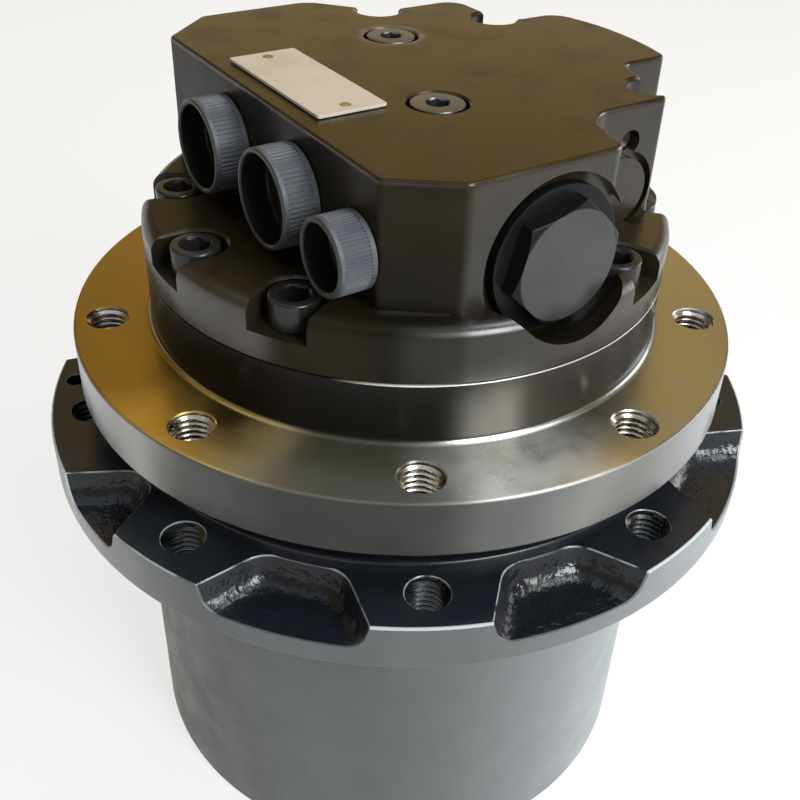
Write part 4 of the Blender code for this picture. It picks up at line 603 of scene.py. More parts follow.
@dataclass(frozen=True)
class HubPaint:
    """Blue-black paint on the drum: turned sides in satin grey, machined pads, and rough cast pockets."""

    name: str
    colour: Colour
    side: Colour
    shadow: Colour = (0.070, 0.056, 0.032)
    glint: Colour = (0.42, 0.45, 0.48)
    rim: float = 110.2 * MM
    nose: float = 92.3 * MM
    flange_low: float = 118.6 * MM
    pad: float = 131.6 * MM
    top: float = 132.8 * MM
    behind: tuple[Span, Span] = ((110.0, 175.0), (-175.0, -120.0))
    right: Span = (5.0, 75.0)
    right_gain: float = 3.2
    left: Span = (-74.0, -44.0)
    left_share: float = 0.95
    # The paler band on the rim at the left is a painted sheen
    pale: Span = (-60.0, -25.0)
    pale_gain: float = 5.0
    pale_share: float = 0.9
    glint_bearing: Span = (-12.0, 60.0)
    lip_share: float = 0.5
    lump: float = 0.75 * MM
    grain: float = 0.05 * MM
    rough: Span = (0.24, 0.38)

    def sides(self, recipe: Recipe, bearing: NodeSocket, rim: NodeSocket) -> NodeSocket:
        """The tint of the turned sides, lit from the right and in brown shadow at the left."""
        streak = recipe.noise(26.0, 3.0, 0.55, None, (1.0, 1.0, 0.25))
        rear = recipe.times(recipe.fall(bearing, *self.behind[0]), recipe.span(bearing, *self.behind[1]))
        side = recipe.blend(recipe.span(streak, 0.35, 0.68), self.side, scaled(self.side, 0.8))
        lit = recipe.times(rear, recipe.span(bearing, *self.right))
        side = recipe.blend(lit, side, scaled(self.side, self.right_gain))
        dim = recipe.times(rear, recipe.span(bearing, *self.left, self.left_share, 0.0))
        side = recipe.blend(dim, side, self.shadow)
        # Painted sheen on the rim at the left
        pale = recipe.times(rim, rear, recipe.span(bearing, *self.pale, self.pale_share, 0.0))
        return recipe.blend(pale, side, scaled(self.side, self.pale_gain))

    def glints(self, recipe: Recipe, bearing: NodeSocket, radius: NodeSocket) -> NodeSocket:
        """The bright lines on the rounded rim and on the broken edges of the pads."""
        rounded = recipe.times(recipe.span(radius, self.rim + 0.05 * MM, self.rim + 0.25 * MM),
                               recipe.span(recipe.z, self.top - 0.75 * MM, self.top - 0.5 * MM),
                               recipe.between(bearing, *self.glint_bearing, 2.0))
        lip = recipe.times(recipe.between(recipe.z, self.top - 0.38 * MM, self.top - 0.02 * MM, 0.01 * MM),
                           recipe.span(radius, self.nose, self.nose + 0.3 * MM),
                           recipe.span(recipe.noise(150.0, 3.0), 0.36, 0.5), self.lip_share)
        return recipe.most(rounded, lip)

    def make(self) -> Material:
        """Builds the material."""
        recipe = Recipe(self.name)
        radius = recipe.radius()
        bearing = recipe.bearing()
        rim = recipe.span(radius, self.rim, self.rim + 0.4 * MM)
        turned = recipe.most(recipe.fall(recipe.z, self.flange_low - 0.4 * MM, self.flange_low), rim)
        cast = recipe.times(recipe.fall(recipe.z, self.pad - 1.2 * MM, self.pad), recipe.less(1.0, turned))
        wide = recipe.span(recipe.noise(18.0, 3.0), 0.35, 0.7)
        dark = recipe.blend(wide, self.colour, scaled(self.colour, 1.7))
        tint = recipe.blend(turned, dark, self.sides(recipe, bearing, rim))
        recipe.shade(base_color=recipe.blend(self.glints(recipe, bearing, radius), tint, self.glint))
        pores = recipe.times(recipe.span(recipe.cells(420.0), 0.05, 0.42), 0.12)
        lumps = recipe.plus(recipe.noise(230.0, 3.0, 0.55), pores)
        relief = recipe.bump(lumps, self.lump, recipe.times(cast, 0.9))
        recipe.shade(normal=recipe.bump(recipe.noise(480.0, 3.0), self.grain, 0.35, relief))
        worn = recipe.span(recipe.noise(85.0, 4.0), 0.3, 0.7, *self.rough)
        worn = recipe.less(worn, recipe.times(cast, 0.07))
        recipe.shade(roughness=recipe.plus(worn, recipe.times(turned, 0.12)), specular_ior_level=0.42)
        return recipe.material


@dataclass(frozen=True)
class TurnedSteel:
    """Bare turned steel with fine tool marks round the axis, painted reflections and shade, and a collar
    painted black.
    """

    name: str
    bright: Colour
    # Colour of the painted warm reflection
    warm: Colour
    # Dark tone of the tool marks, also the colour of the painted dark reflection at the front
    dark: Colour
    paint: Colour
    # Colours of the painted cool grey and silver reflections
    cool: Colour = (0.46, 0.47, 0.50)
    silver: Colour = (0.78, 0.79, 0.76)
    # Colour of the painted shade on the lower sides
    dim: Colour = (0.055, 0.058, 0.056)
    # Colour of the painted glint along the seam
    line: Colour = (0.85, 0.85, 0.82)
    shadow: Colour = (0.05, 0.04, 0.02)
    rough: Span = (0.23, 0.34)
    pitch: float = 5200.0
    stretch: float = 0.7
    uneven: float = 22.0
    face: float = 163.7 * MM
    foot: float = 79.4 * MM
    joint: float = 181.5 * MM
    rear: Span = (-175.0, -110.0)
    # Bearings of the painted warm reflection with its brighter painted highlight, and of the painted dark
    # reflection
    warm_reflection: Span = (-36.0, -12.0)
    warm_highlight: Span = (-50.0, -22.0)
    warm_highlight_gain: float = 2.1
    painted_reflection: Span = (-24.0, 7.0)
    painted_reflection_metal: float = 0.62
    # Bearings of the painted silver and cool grey reflections
    silver_bearing: Span = (9.0, 34.0)
    cool_right: Span = (30.0, 60.0)
    cool_left: Span = (-60.0, -42.0)
    # Bearings where the painted shade on the lower sides gives way, to the right, the left and the rear
    side_right: Ramp = (14.0, 66.0, 0.12, 1.0)
    side_left: Ramp = (-44.0, -28.0, 0.6, 0.0)
    side_rear: float = 0.4
    lit: Span = (13.0, 48.0)
    lit_gain: float = 5.0
    # Bearings of the painted glint along the seam
    seam_glint: Ramp = (-12.0, 4.0, 0.0, 0.9)
    brink: Ramp = (-28.0, -16.0, 0.85, 0.0)
    collar_dull: Ramp = (-40.0, 8.0, 0.42, 0.36)

    def bare(self, recipe: Recipe, bearing: NodeSocket, warm_reflection: NodeSocket, painted_reflection: NodeSocket) -> NodeSocket:
        """The tint of the flange with painted reflections: silver at the right, dark at the front, golden at
        the left.
        """
        tint = recipe.blend(recipe.between(bearing, *self.silver_bearing, 5.0), self.bright, self.silver)
        tint = recipe.blend(recipe.span(bearing, *self.cool_right), tint, self.cool)
        tint = recipe.blend(recipe.fall(bearing, *self.cool_left), tint, self.cool)
        tint = recipe.blend(painted_reflection, tint, self.dark)
        tint = recipe.blend(warm_reflection, tint, self.warm)
        # A brighter painted highlight inside the painted warm reflection
        warm_highlight = recipe.times(warm_reflection, recipe.between(bearing, *self.warm_highlight, 6.0), 0.8)
        return recipe.blend(warm_highlight, tint, scaled(self.warm, self.warm_highlight_gain))

    def make(self) -> Material:
        """Builds the material."""
        recipe = Recipe(self.name)
        radius = recipe.radius()
        true_bearing = recipe.bearing()
        rings = recipe.noise(self.pitch, 3.0, 0.6, recipe.along(radius, 0.0, recipe.z))
        uneven = recipe.times(recipe.less(recipe.noise(15.0, 3.0), 0.5), self.uneven)
        bearing = recipe.plus(true_bearing, uneven)
        edge = (self.face - 0.9 * MM, self.face - 0.2 * MM)
        top = recipe.span(recipe.z, *edge)
        rear = recipe.span(true_bearing, *self.rear)
        # Painted warm reflection on the top face at the left
        warm_reflection = recipe.times(recipe.fall(bearing, *self.warm_reflection), top, rear)
        inner = recipe.span(recipe.fall(radius, 80.0 * MM, 98.0 * MM), 0.0, 1.0, 0.86, 1.0)
        # Painted dark reflection at the front, a little weaker further out
        painted_reflection = recipe.times(recipe.between(bearing, *self.painted_reflection, 8.0), inner)
        tint = self.bare(recipe, bearing, warm_reflection, painted_reflection)
        # Painted shade on everything below the flange's top face, except towards the right, the left and the
        # rear
        grey = recipe.plus(recipe.span(bearing, *self.side_right), recipe.span(bearing, *self.side_left),
                           recipe.span(rear, 0.0, 1.0, self.side_rear, 0.0))
        dim = recipe.times(recipe.fall(recipe.z, *edge), recipe.less(1.0, recipe.least(grey, 1.0)))
        tint = recipe.blend(dim, tint, self.dim)
        tint = recipe.blend(recipe.span(rings, 0.52, 0.8, 0.0, 0.16), tint, self.dark)
        collar = recipe.times(recipe.span(recipe.z, self.face + 0.3 * MM, self.face + 1.1 * MM),
                              recipe.fall(radius, self.foot - 0.5 * MM, self.foot + 0.3 * MM),
                              recipe.span(radius, 60.0 * MM, 61.0 * MM))
        lit = recipe.span(recipe.between(bearing, *self.lit, 7.0), 0.0, 1.0)
        paint = recipe.blend(lit, self.paint, scaled(self.paint, self.lit_gain))
        tint = recipe.blend(collar, tint, paint)
        # Painted glint along the seam between the collar and the rear cover, stronger towards the right
        seam_glint = recipe.between(recipe.z, self.joint - 0.22 * MM, self.joint + 0.22 * MM, 0.03 * MM)
        seam_glint = recipe.times(seam_glint, recipe.span(bearing, *self.seam_glint), recipe.span(radius, 74.0 * MM, 75.0 * MM))
        tint = recipe.blend(seam_glint, tint, self.line)
        brink = recipe.times(recipe.between(recipe.z, self.face - 0.75 * MM, self.face - 0.3 * MM, 0.1 * MM),
                             recipe.span(bearing, *self.brink), recipe.span(radius, 98.9 * MM, 99.1 * MM))
        recipe.shade(base_color=recipe.blend(brink, tint, self.shadow))
        painted = recipe.less(collar, seam_glint)
        # Less metallic where the painted dark reflection lies on the top face
        metal = recipe.less(recipe.span(painted, 0.0, 1.0, 1.0, 0.5),
                            recipe.times(painted_reflection, top, self.painted_reflection_metal))
        dull = recipe.times(painted, recipe.span(true_bearing, *self.collar_dull))
        worn = recipe.span(recipe.noise(60.0, 4.0), 0.3, 0.7, *self.rough)
        recipe.shade(metallic=metal, specular_ior_level=recipe.less(0.5, dull),
                     roughness=recipe.less(worn, recipe.times(collar, 0.05)),
                     normal=recipe.bump(rings, 0.004 * MM, 0.6))
        recipe.lathe(self.stretch)
        return recipe.material


@dataclass(frozen=True)
class PlainMetal:
    """Ground, phosphated or cast metal with small scratches and stains."""

    name: str
    colour: Colour
    stain: Colour
    gloss: float = 0.30
    metallic: float = 1.0
    grain: float = 0.02 * MM
    grain_scale: float = 1400.0

    def make(self) -> Material:
        """Builds the material."""
        recipe = Recipe(self.name)
        spread = recipe.span(recipe.noise(70.0, 4.0), 0.4, 0.72)
        scratches = recipe.noise(260.0, 2.0, 0.5, None, (1.0, 9.0, 2.0))
        recipe.shade(base_color=recipe.blend(spread, self.colour, self.stain), metallic=self.metallic)
        recipe.shade(roughness=recipe.span(scratches, 0.35, 0.7, self.gloss - 0.06, self.gloss + 0.12))
        recipe.shade(normal=recipe.bump(recipe.noise(self.grain_scale, 3.0), self.grain, 0.5))
        return recipe.material


@dataclass(frozen=True)
class PlugPaint:
    """Black finish of the hexagon plugs, paler where the outer face is rubbed."""

    name: str
    side: Colour
    face: Colour
    front: Span = (-71.3 * MM, -70.9 * MM)
    rear: Span = (85.3 * MM, 85.7 * MM)

    def make(self) -> Material:
        """Builds the material."""
        recipe = Recipe(self.name)
        rubbed = recipe.most(recipe.fall(recipe.y, *self.front), recipe.span(recipe.y, *self.rear))
        cloud = recipe.noise(60.0, 4.0)
        face = recipe.blend(recipe.span(cloud, 0.35, 0.7), self.face, scaled(self.face, 0.85))
        recipe.shade(base_color=recipe.blend(rubbed, self.side, face),
                     metallic=recipe.span(rubbed, 0.0, 1.0, 0.1, 0.45),
                     specular_ior_level=recipe.span(rubbed, 0.0, 1.0, 0.16, 0.5),
                     roughness=recipe.span(cloud, 0.3, 0.7, 0.27, 0.36),
                     normal=recipe.bump(recipe.noise(900.0, 3.0), 0.02 * MM, 0.5))
        return recipe.material


@dataclass(frozen=True)
class MouldedPlastic:
    """Dull moulded plastic with a faint skin texture, dark on the caps' rims, painted shade in their hollows.
    """

    name: str
    colour: Colour
    rim: Colour = (0.020, 0.020, 0.020)
    # Colour of the painted shade in the hollows of the caps
    hollow: Colour = (0.008, 0.0075, 0.0065)
    gloss: float = 0.42
    mouth: float = -54.5 * MM
    hollow_sizes: tuple[float, ...] = (11.65 * MM, 11.65 * MM, 8.4 * MM)

    def make(self) -> Material:
        """Builds the material."""
        recipe = Recipe(self.name)
        skin = recipe.noise(1500.0, 2.0)
        dust = recipe.span(recipe.noise(120.0, 4.0), 0.45, 0.75)
        pale = tuple(part * 1.5 + 0.003 for part in self.colour)
        depth: object = 1.0
        for (y, z), size in zip(PORTS, self.hollow_sizes):
            off = recipe.away(recipe.less(recipe.y, y), recipe.less(recipe.z, z))
            depth = recipe.least(depth, recipe.less(off, size))
        # Painted shade inside the cups of the caps, with less reflection there too
        dark = recipe.fall(depth, 0.05 * MM, 0.35 * MM)
        rim = recipe.span(recipe.x, self.mouth + 0.35 * MM, self.mouth + 0.7 * MM, 0.75, 0.0)
        tint = recipe.blend(rim, recipe.blend(dust, self.colour, pale), self.rim)
        recipe.shade(base_color=recipe.blend(dark, tint, self.hollow))
        recipe.shade(roughness=recipe.span(skin, 0.3, 0.7, self.gloss - 0.05, self.gloss + 0.10))
        recipe.shade(normal=recipe.bump(skin, 0.03 * MM, 0.4),
                     specular_ior_level=recipe.span(dark, 0.0, 1.0, 0.4, 0.2))
        return recipe.material


class Finishes:
    """Every material of the drive, made once."""

    def __init__(self) -> None:
        """Makes the materials."""
        self.hub = HubPaint("hub_paint", (0.0065, 0.0080, 0.0115), (0.088, 0.096, 0.102)).make()
        self.block = BlockPaint("black_paint", (0.0075, 0.0064, 0.0042), (0.018, 0.0125, 0.0065)).make()
        self.flange = TurnedSteel("turned_steel", bright=(0.44, 0.43, 0.40), warm=(0.34, 0.245, 0.085),
                                  dark=(0.056, 0.054, 0.040), paint=(0.009, 0.008, 0.007)).make()
        self.cut = PlainMetal("bright_cut", (0.62, 0.58, 0.50), (0.38, 0.34, 0.27), 0.22).make()
        self.thread = PlainMetal("oily_thread", (0.075, 0.078, 0.082), (0.14, 0.14, 0.14), 0.26).make()
        self.ground = PlainMetal("ground_steel", (0.55, 0.55, 0.56), (0.42, 0.42, 0.42), 0.25).make()
        self.oxide = PlainMetal("black_oxide", (0.022, 0.022, 0.023), (0.034, 0.033, 0.031), 0.30,
                                metallic=0.45).make()
        self.plug = PlainMetal("plug_steel", (0.15, 0.165, 0.20), (0.22, 0.23, 0.26), 0.36).make()
        self.hexagon = PlugPaint("plug_black", (0.006, 0.0065, 0.0075), (0.060, 0.062, 0.068)).make()
        self.plastic = MouldedPlastic("black_plastic", (0.060, 0.066, 0.079)).make()
        self.plate = PlainMetal("plate_metal", (0.60, 0.555, 0.50), (0.53, 0.48, 0.42), 0.42,
                                metallic=0.35).make()
        self.brass = PlainMetal("rivet_brass", (0.48, 0.40, 0.24), (0.36, 0.29, 0.16), 0.32).make()
        self.bronze = PlainMetal("bronze", (0.42, 0.26, 0.10), (0.30, 0.18, 0.07), 0.38).make()
        self.friction = PlainMetal("friction", (0.16, 0.11, 0.07), (0.10, 0.07, 0.05), 0.80,
                                   metallic=0.0, grain=0.1 * MM).make()


# Sub-assemblies


@dataclass(frozen=True)
class ScrewHole:
    """A threaded hole: its bore with a broken mouth, and the helical ridge of its thread."""

    crest: float = 5.1 * MM
    bore: float = 6.0 * MM
    mouth: float = 6.5 * MM
    lead: float = 1.75 * MM
    root_share: float = 0.47
    tip_share: float = 0.15
    bite: float = 0.1 * MM
    lip: float = 0.02 * MM
    steps_a_turn: int = 24

    def tool(self, low: float, high: float) -> BMesh:
        """The tool that cuts the plain bore between two faces and breaks both mouths."""
        edge = self.mouth - self.bore
        wide = self.mouth + self.lip
        section = [(0.0, high + OVERRUN), (wide, high + OVERRUN), (wide, high + self.lip),
                   (self.bore, high - edge), (self.bore, low + edge), (wide, low - self.lip),
                   (wide, low - OVERRUN), (0.0, low - OVERRUN)]
        return spun(section, SMALL_STEPS)

    def ridge(self, low: float, high: float) -> BMesh:
        """The thread itself, one closed coil with a pointed section.

        Args:
            low: Height of its first turn.
            high: Height at which it ends.

        Returns:
            The coil round Z.
        """
        shape = bmesh.new()
        root = self.bore + self.bite
        half = self.lead * self.root_share
        tip = half * self.tip_share
        points = [(root, low - half), (root, low + half), (self.crest, low + tip), (self.crest, low - tip)]
        corners = [shape.verts.new((radius, 0.0, height)) for radius, height in points]
        face = shape.faces.new(corners)
        turns = (high - low) / self.lead
        steps = round(turns * self.steps_a_turn)
        rise = (high - low) / steps
        bmesh.ops.spin(shape, geom=[face], cent=(0.0, 0.0, 0.0), axis=(0.0, 0.0, 1.0), dvec=(0.0, 0.0, rise),
                       angle=FULL_TURN * turns, steps=steps)
        bmesh.ops.recalc_face_normals(shape, faces=shape.faces)
        return shape

    def coils(self, name: str, places: list[Matrix], low: float, high: float) -> Object:
        """The threads of a row of holes, as one piece."""
        return body_of(name, repeated(self.ridge(low, high), places))


@dataclass
class HubDrum:
    """The turning drum: its rim, its sprocket flange with cast pockets, its nose and the ring gear inside."""

    finishes: Finishes
    drum: float = 86.4 * MM
    flange: float = 111.0 * MM
    flange_low: float = 118.2 * MM
    flange_top: float = 132.8 * MM
    nose: float = 92.0 * MM
    nose_face: float = 90.0 * MM
    nose_top: float = 136.3 * MM
    rim: float = 74.8 * MM
    snap_groove: float = 77.8 * MM
    snap_heights: Span = (2.7 * MM, 5.8 * MM)
    cover_seat: float = 14.1 * MM
    gear_bore: float = 64.1 * MM
    gear_top: float = 66.5 * MM
    relief: float = 71.5 * MM
    relief_top: float = 70.5 * MM
    bearing_seat: float = 62.8 * MM
    bearing_low: float = 79.2 * MM
    shoulder: float = 60.4 * MM
    shoulder_heights: Span = (102.1 * MM, 106.6 * MM)
    seal_floor: float = 126.2 * MM
    seal_pocket: float = 76.0 * MM
    nose_round: float = 1.0 * MM
    seal_edge: float = 0.6 * MM
    flange_edge: float = 0.7 * MM
    flange_round: float = 0.9 * MM
    drum_round: float = 2.0 * MM
    rim_edge: float = 0.5 * MM
    bolt_circle: float = 99.0 * MM
    first_bolt: float = -118.6
    bolts: int = 9
    pad_half: float = 8.1
    pad_taper: float = 5.0
    wide_pad: int = 7
    wide_pad_half: float = 15.9
    pocket_floor: float = 124.7 * MM
    pocket_inner: float = 92.5 * MM
    pocket_corner: float = 5.5 * MM
    corner_share: float = 0.75
    pocket_draft: float = 2.2 * MM
    pocket_fillet: float = 4.2 * MM
    pocket_edge: float = 0.35 * MM
    pocket_lip: float = 0.4 * MM
    corner_steps: int = 7
    wall_steps: int = 12
    fillet_steps: int = 8
    hole: ScrewHole = ScrewHole(mouth=6.3 * MM)
    thread: Span = (1.2 * MM, 1.0 * MM)
    bleed: ScrewHole = ScrewHole(bore=3.0 * MM, mouth=3.3 * MM)
    bleed_place: Span = (105.0 * MM, -208.2)
    ring_teeth: int = 45
    module: float = 3.0 * MM
    pressure: float = math.radians(20)
    backlash: float = 0.17 * MM
    tip_share: float = 0.8
    flank_steps: int = 4
    gear_heights: Span = (10.0 * MM, 68.5 * MM)

    def shell(self) -> BMesh:
        """The turned body with its bore, before anything is cut."""
        snap_low, snap_high = self.snap_heights
        low, high = self.shoulder_heights
        outside = [
            (self.nose_face, self.nose_top), (self.nose, self.nose_top), (self.nose, self.flange_top),
            (self.flange, self.flange_top), (self.flange, self.flange_low), (self.drum, self.flange_low),
            (self.drum, 0.0),
        ]
        gear_room = [
            (self.rim, 0.0), (self.rim, snap_low), (self.snap_groove, snap_low),
            (self.snap_groove, snap_high), (self.rim, snap_high), (self.rim, self.cover_seat),
            (self.gear_bore, self.cover_seat), (self.gear_bore, self.gear_top),
            (self.relief, self.gear_top), (self.relief, self.relief_top),
        ]
        bearing_room = [
            (self.bearing_seat, self.bearing_low), (self.bearing_seat, low), (self.shoulder, low),
            (self.shoulder, high), (self.bearing_seat, high), (self.bearing_seat, self.seal_floor),
            (self.seal_pocket, self.seal_floor), (self.seal_pocket, self.nose_top),
        ]
        shape = spun(outside + gear_room + bearing_room, ROUND_STEPS)
        rounded(shape, (self.nose, self.nose_top, self.nose_round, 3),
                (self.seal_pocket, self.nose_top, self.seal_edge, 1),
                (self.flange, self.flange_top, self.flange_edge, 2),
                (self.flange, self.flange_low, self.flange_round, 3),
                (self.drum, self.flange_low, self.drum_round, 5),
                (self.drum, 0.0, self.drum_round, 4), (self.rim, 0.0, self.rim_edge, 1))
        return shape

    def tooth_space(self) -> BMesh:
        """The space inside the ring gear, a prism with an involute gap for each planet tooth."""
        pitch = self.module * self.ring_teeth / 2
        base = pitch * math.cos(self.pressure)
        outline = []
        tip, root = pitch - self.tip_share * self.module, pitch + self.module
        radii = [tip + (root - tip) * step / self.flank_steps for step in range(self.flank_steps + 1)]
        widest = (math.pi / (2 * self.ring_teeth) + self.backlash / pitch
                  + math.tan(self.pressure) - self.pressure)
        for tooth in range(self.ring_teeth):
            middle = FULL_TURN * (tooth + 0.5) / self.ring_teeth
            flank = []
            for radius in radii:
                here = math.acos(min(1.0, base / radius))
                flank.append((radius, widest - (math.tan(here) - here)))
            for radius, half in flank:
                outline.append((radius * math.cos(middle - half), radius * math.sin(middle - half)))
            for radius, half in reversed(flank):
                outline.append((radius * math.cos(middle + half), radius * math.sin(middle + half)))
        return raised(outline, *self.gear_heights)

    def pads(self) -> list[Span]:
        """First and last angle of each bolt pad, in degrees."""
        spans = []
        for index in range(self.bolts):
            middle = self.first_bolt + 360.0 * index / self.bolts
            half = self.wide_pad_half if index == self.wide_pad else self.pad_half
            spans.append((middle - half, middle + half))
        return spans

    def pocket(self, first: float, last: float) -> BMesh:
        """The tool for one cast pocket, open at the rim.

        Args:
            first: Angle of the wall where it starts, in degrees.
            last: Angle of the wall where it ends.

        Returns:
            The tool, with drafted walls, round corners, a filleted floor and a broken top edge.
        """
        reach = self.flange + OVERRUN
        top = self.flange_top - self.pocket_edge

        def growth(radius: float) -> float:
            return self.pad_taper * (self.flange - radius) / (self.flange - self.pocket_inner)

        def outline(inset: float) -> Section:
            inner = self.pocket_inner + inset
            near = growth(inner) + math.degrees(inset / inner)
            far = growth(reach) + math.degrees(inset / reach)
            low, high = first + near, last - near
            cut = min(self.pocket_corner, inner * math.radians(high - low) / 2 * self.corner_share)
            turn = math.degrees(cut / inner)
            points = [polar(reach, first + far)]
            for corner, rim, side in ((low, first + far, 1.0), (high, last - far, -1.0)):
                bend = Vector(polar(inner, corner))
                wall = bend + (Vector(polar(reach, rim)) - bend).normalized() * cut
                floor = Vector(polar(inner, corner + side * turn))
                curve = [wall * (1 - share) ** 2 + bend * 2 * share * (1 - share) + floor * share ** 2
                         for share in (step / self.corner_steps for step in range(self.corner_steps + 1))]
                if side > 0:
                    points += [tuple(point) for point in curve]
                    room = high - low - 2 * turn
                    points += [polar(inner, low + turn + room * step / self.wall_steps)
                               for step in range(1, self.wall_steps)]
                else:
                    points += [tuple(point) for point in reversed(curve)]
            return points + [polar(reach, last - far)]

        levels = []
        depth = self.flange_top - self.pocket_floor
        for step in range(self.fillet_steps + 1):
            angle = math.pi / 2 * step / self.fillet_steps
            height = self.pocket_fillet * (1 - math.cos(angle))
            inset = self.pocket_draft * (1 - height / depth) + self.pocket_fillet * (1 - math.sin(angle))
            levels.append((outline(inset), self.pocket_floor + height))
        lip = self.pocket_lip
        levels += [(outline(0.0), top), (outline(-lip), top + lip), (outline(-lip), top + lip + OVERRUN)]
        return lofted(levels)

    def build(self) -> None:
        """Makes the drum and the threads in its flange."""
        made = body_of("hub_drum_shell", self.shell())
        work(made, self.tooth_space())
        spans = self.pads()
        for (_, first), (last, _) in zip(spans, spans[1:] + [(spans[0][0] + 360.0, 0.0)]):
            work(made, self.pocket(first, last))
        places = around(self.bolt_circle, self.first_bolt, self.bolts)
        work(made, repeated(self.hole.tool(self.flange_low, self.flange_top), places))
        bleed = self.bleed.tool(self.flange_low, self.flange_top)
        work(made, placed(bleed, Matrix.Translation((*polar(*self.bleed_place), 0.0))))
        settle(made, self.finishes.hub, "hub", ["hub_drum"])
        low, high = self.flange_low + self.thread[0], self.flange_top - self.thread[1]
        settle(self.hole.coils("hub_threads", places, low, high), self.finishes.thread, "hub")


@dataclass
class MotorCasing:
    """The casing: its spindle inside the hub, the frame flange and the collar under the rear cover."""

    finishes: Finishes
    flange: float = 100.0 * MM
    flange_low: float = 146.3 * MM
    flange_top: float = 163.7 * MM
    collar: float = 77.1 * MM
    joint: float = 181.7 * MM
    skirt: Span = (76.0 * MM, 83.0 * MM)
    skirt_low: float = 139.3 * MM
    neck: float = 62.0 * MM
    neck_low: float = 139.2 * MM
    shoulder: float = 52.0 * MM
    shoulder_heights: Span = (125.2 * MM, 128.2 * MM)
    bearing_seat: float = 44.7 * MM
    nut_thread: float = 43.5 * MM
    thread_heights: Span = (83.5 * MM, 83.8 * MM)
    spindle_low: float = 75.8 * MM
    shaft_bore: float = 15.0 * MM
    shaft_bearing: Span = (20.3 * MM, 87.8 * MM)
    chamber: Span = (37.0 * MM, 99.8 * MM)
    brake_chamber: Span = (55.0 * MM, 151.1 * MM)
    edge: float = 0.8 * MM
    foot: float = 1.8 * MM
    joint_edge: float = 0.35 * MM
    bolt_circle: float = 90.0 * MM
    bolts: int = 9
    hole: ScrewHole = ScrewHole(mouth=6.4 * MM)
    thread: Span = (1.2 * MM, 1.4 * MM)

    def shell(self) -> BMesh:
        """The turned body with its chambers."""
        skirt_inside, skirt_outside = self.skirt
        shoulder_low, shoulder_high = self.shoulder_heights
        thread_low, thread_high = self.thread_heights
        bearing, bearing_floor = self.shaft_bearing
        chamber, chamber_floor = self.chamber
        brake, brake_floor = self.brake_chamber
        outside = [
            (brake, self.joint), (self.collar, self.joint), (self.collar, self.flange_top),
            (self.flange, self.flange_top), (self.flange, self.flange_low),
            (skirt_outside, self.flange_low), (skirt_outside, self.skirt_low),
            (skirt_inside, self.skirt_low), (skirt_inside, self.flange_low),
        ]
        spindle = [
            (self.neck, self.flange_low), (self.neck, self.neck_low), (self.shoulder, shoulder_high),
            (self.shoulder, shoulder_low), (self.bearing_seat, shoulder_low),
            (self.bearing_seat, thread_high), (self.nut_thread, thread_low),
            (self.nut_thread, self.spindle_low),
        ]
        inside = [
            (self.shaft_bore, self.spindle_low), (self.shaft_bore, bearing_floor),
            (bearing, bearing_floor), (bearing, chamber_floor), (chamber, chamber_floor),
            (chamber, brake_floor), (brake, brake_floor),
        ]
        shape = spun(outside + spindle + inside, ROUND_STEPS)
        rounded(shape, (self.flange, self.flange_top, self.edge, 2),
                (self.flange, self.flange_low, self.edge, 2), (self.collar, self.flange_top, self.foot, 5),
                (self.collar, self.joint, self.joint_edge, 2))
        return shape

    def build(self) -> None:
        """Makes the casing and the threads in its flange."""
        made = body_of("casing_shell", self.shell())
        places = around(self.bolt_circle, 0.0, self.bolts)
        work(made, repeated(self.hole.tool(self.flange_low, self.flange_top), places))
        settle(made, self.finishes.flange, "casing", ["motor_casing"])
        low, high = self.flange_low + self.thread[0], self.flange_top - self.thread[1]
        threads = self.hole.coils("casing_threads", places, low, high)
        settle(threads, self.finishes.cut, "casing")


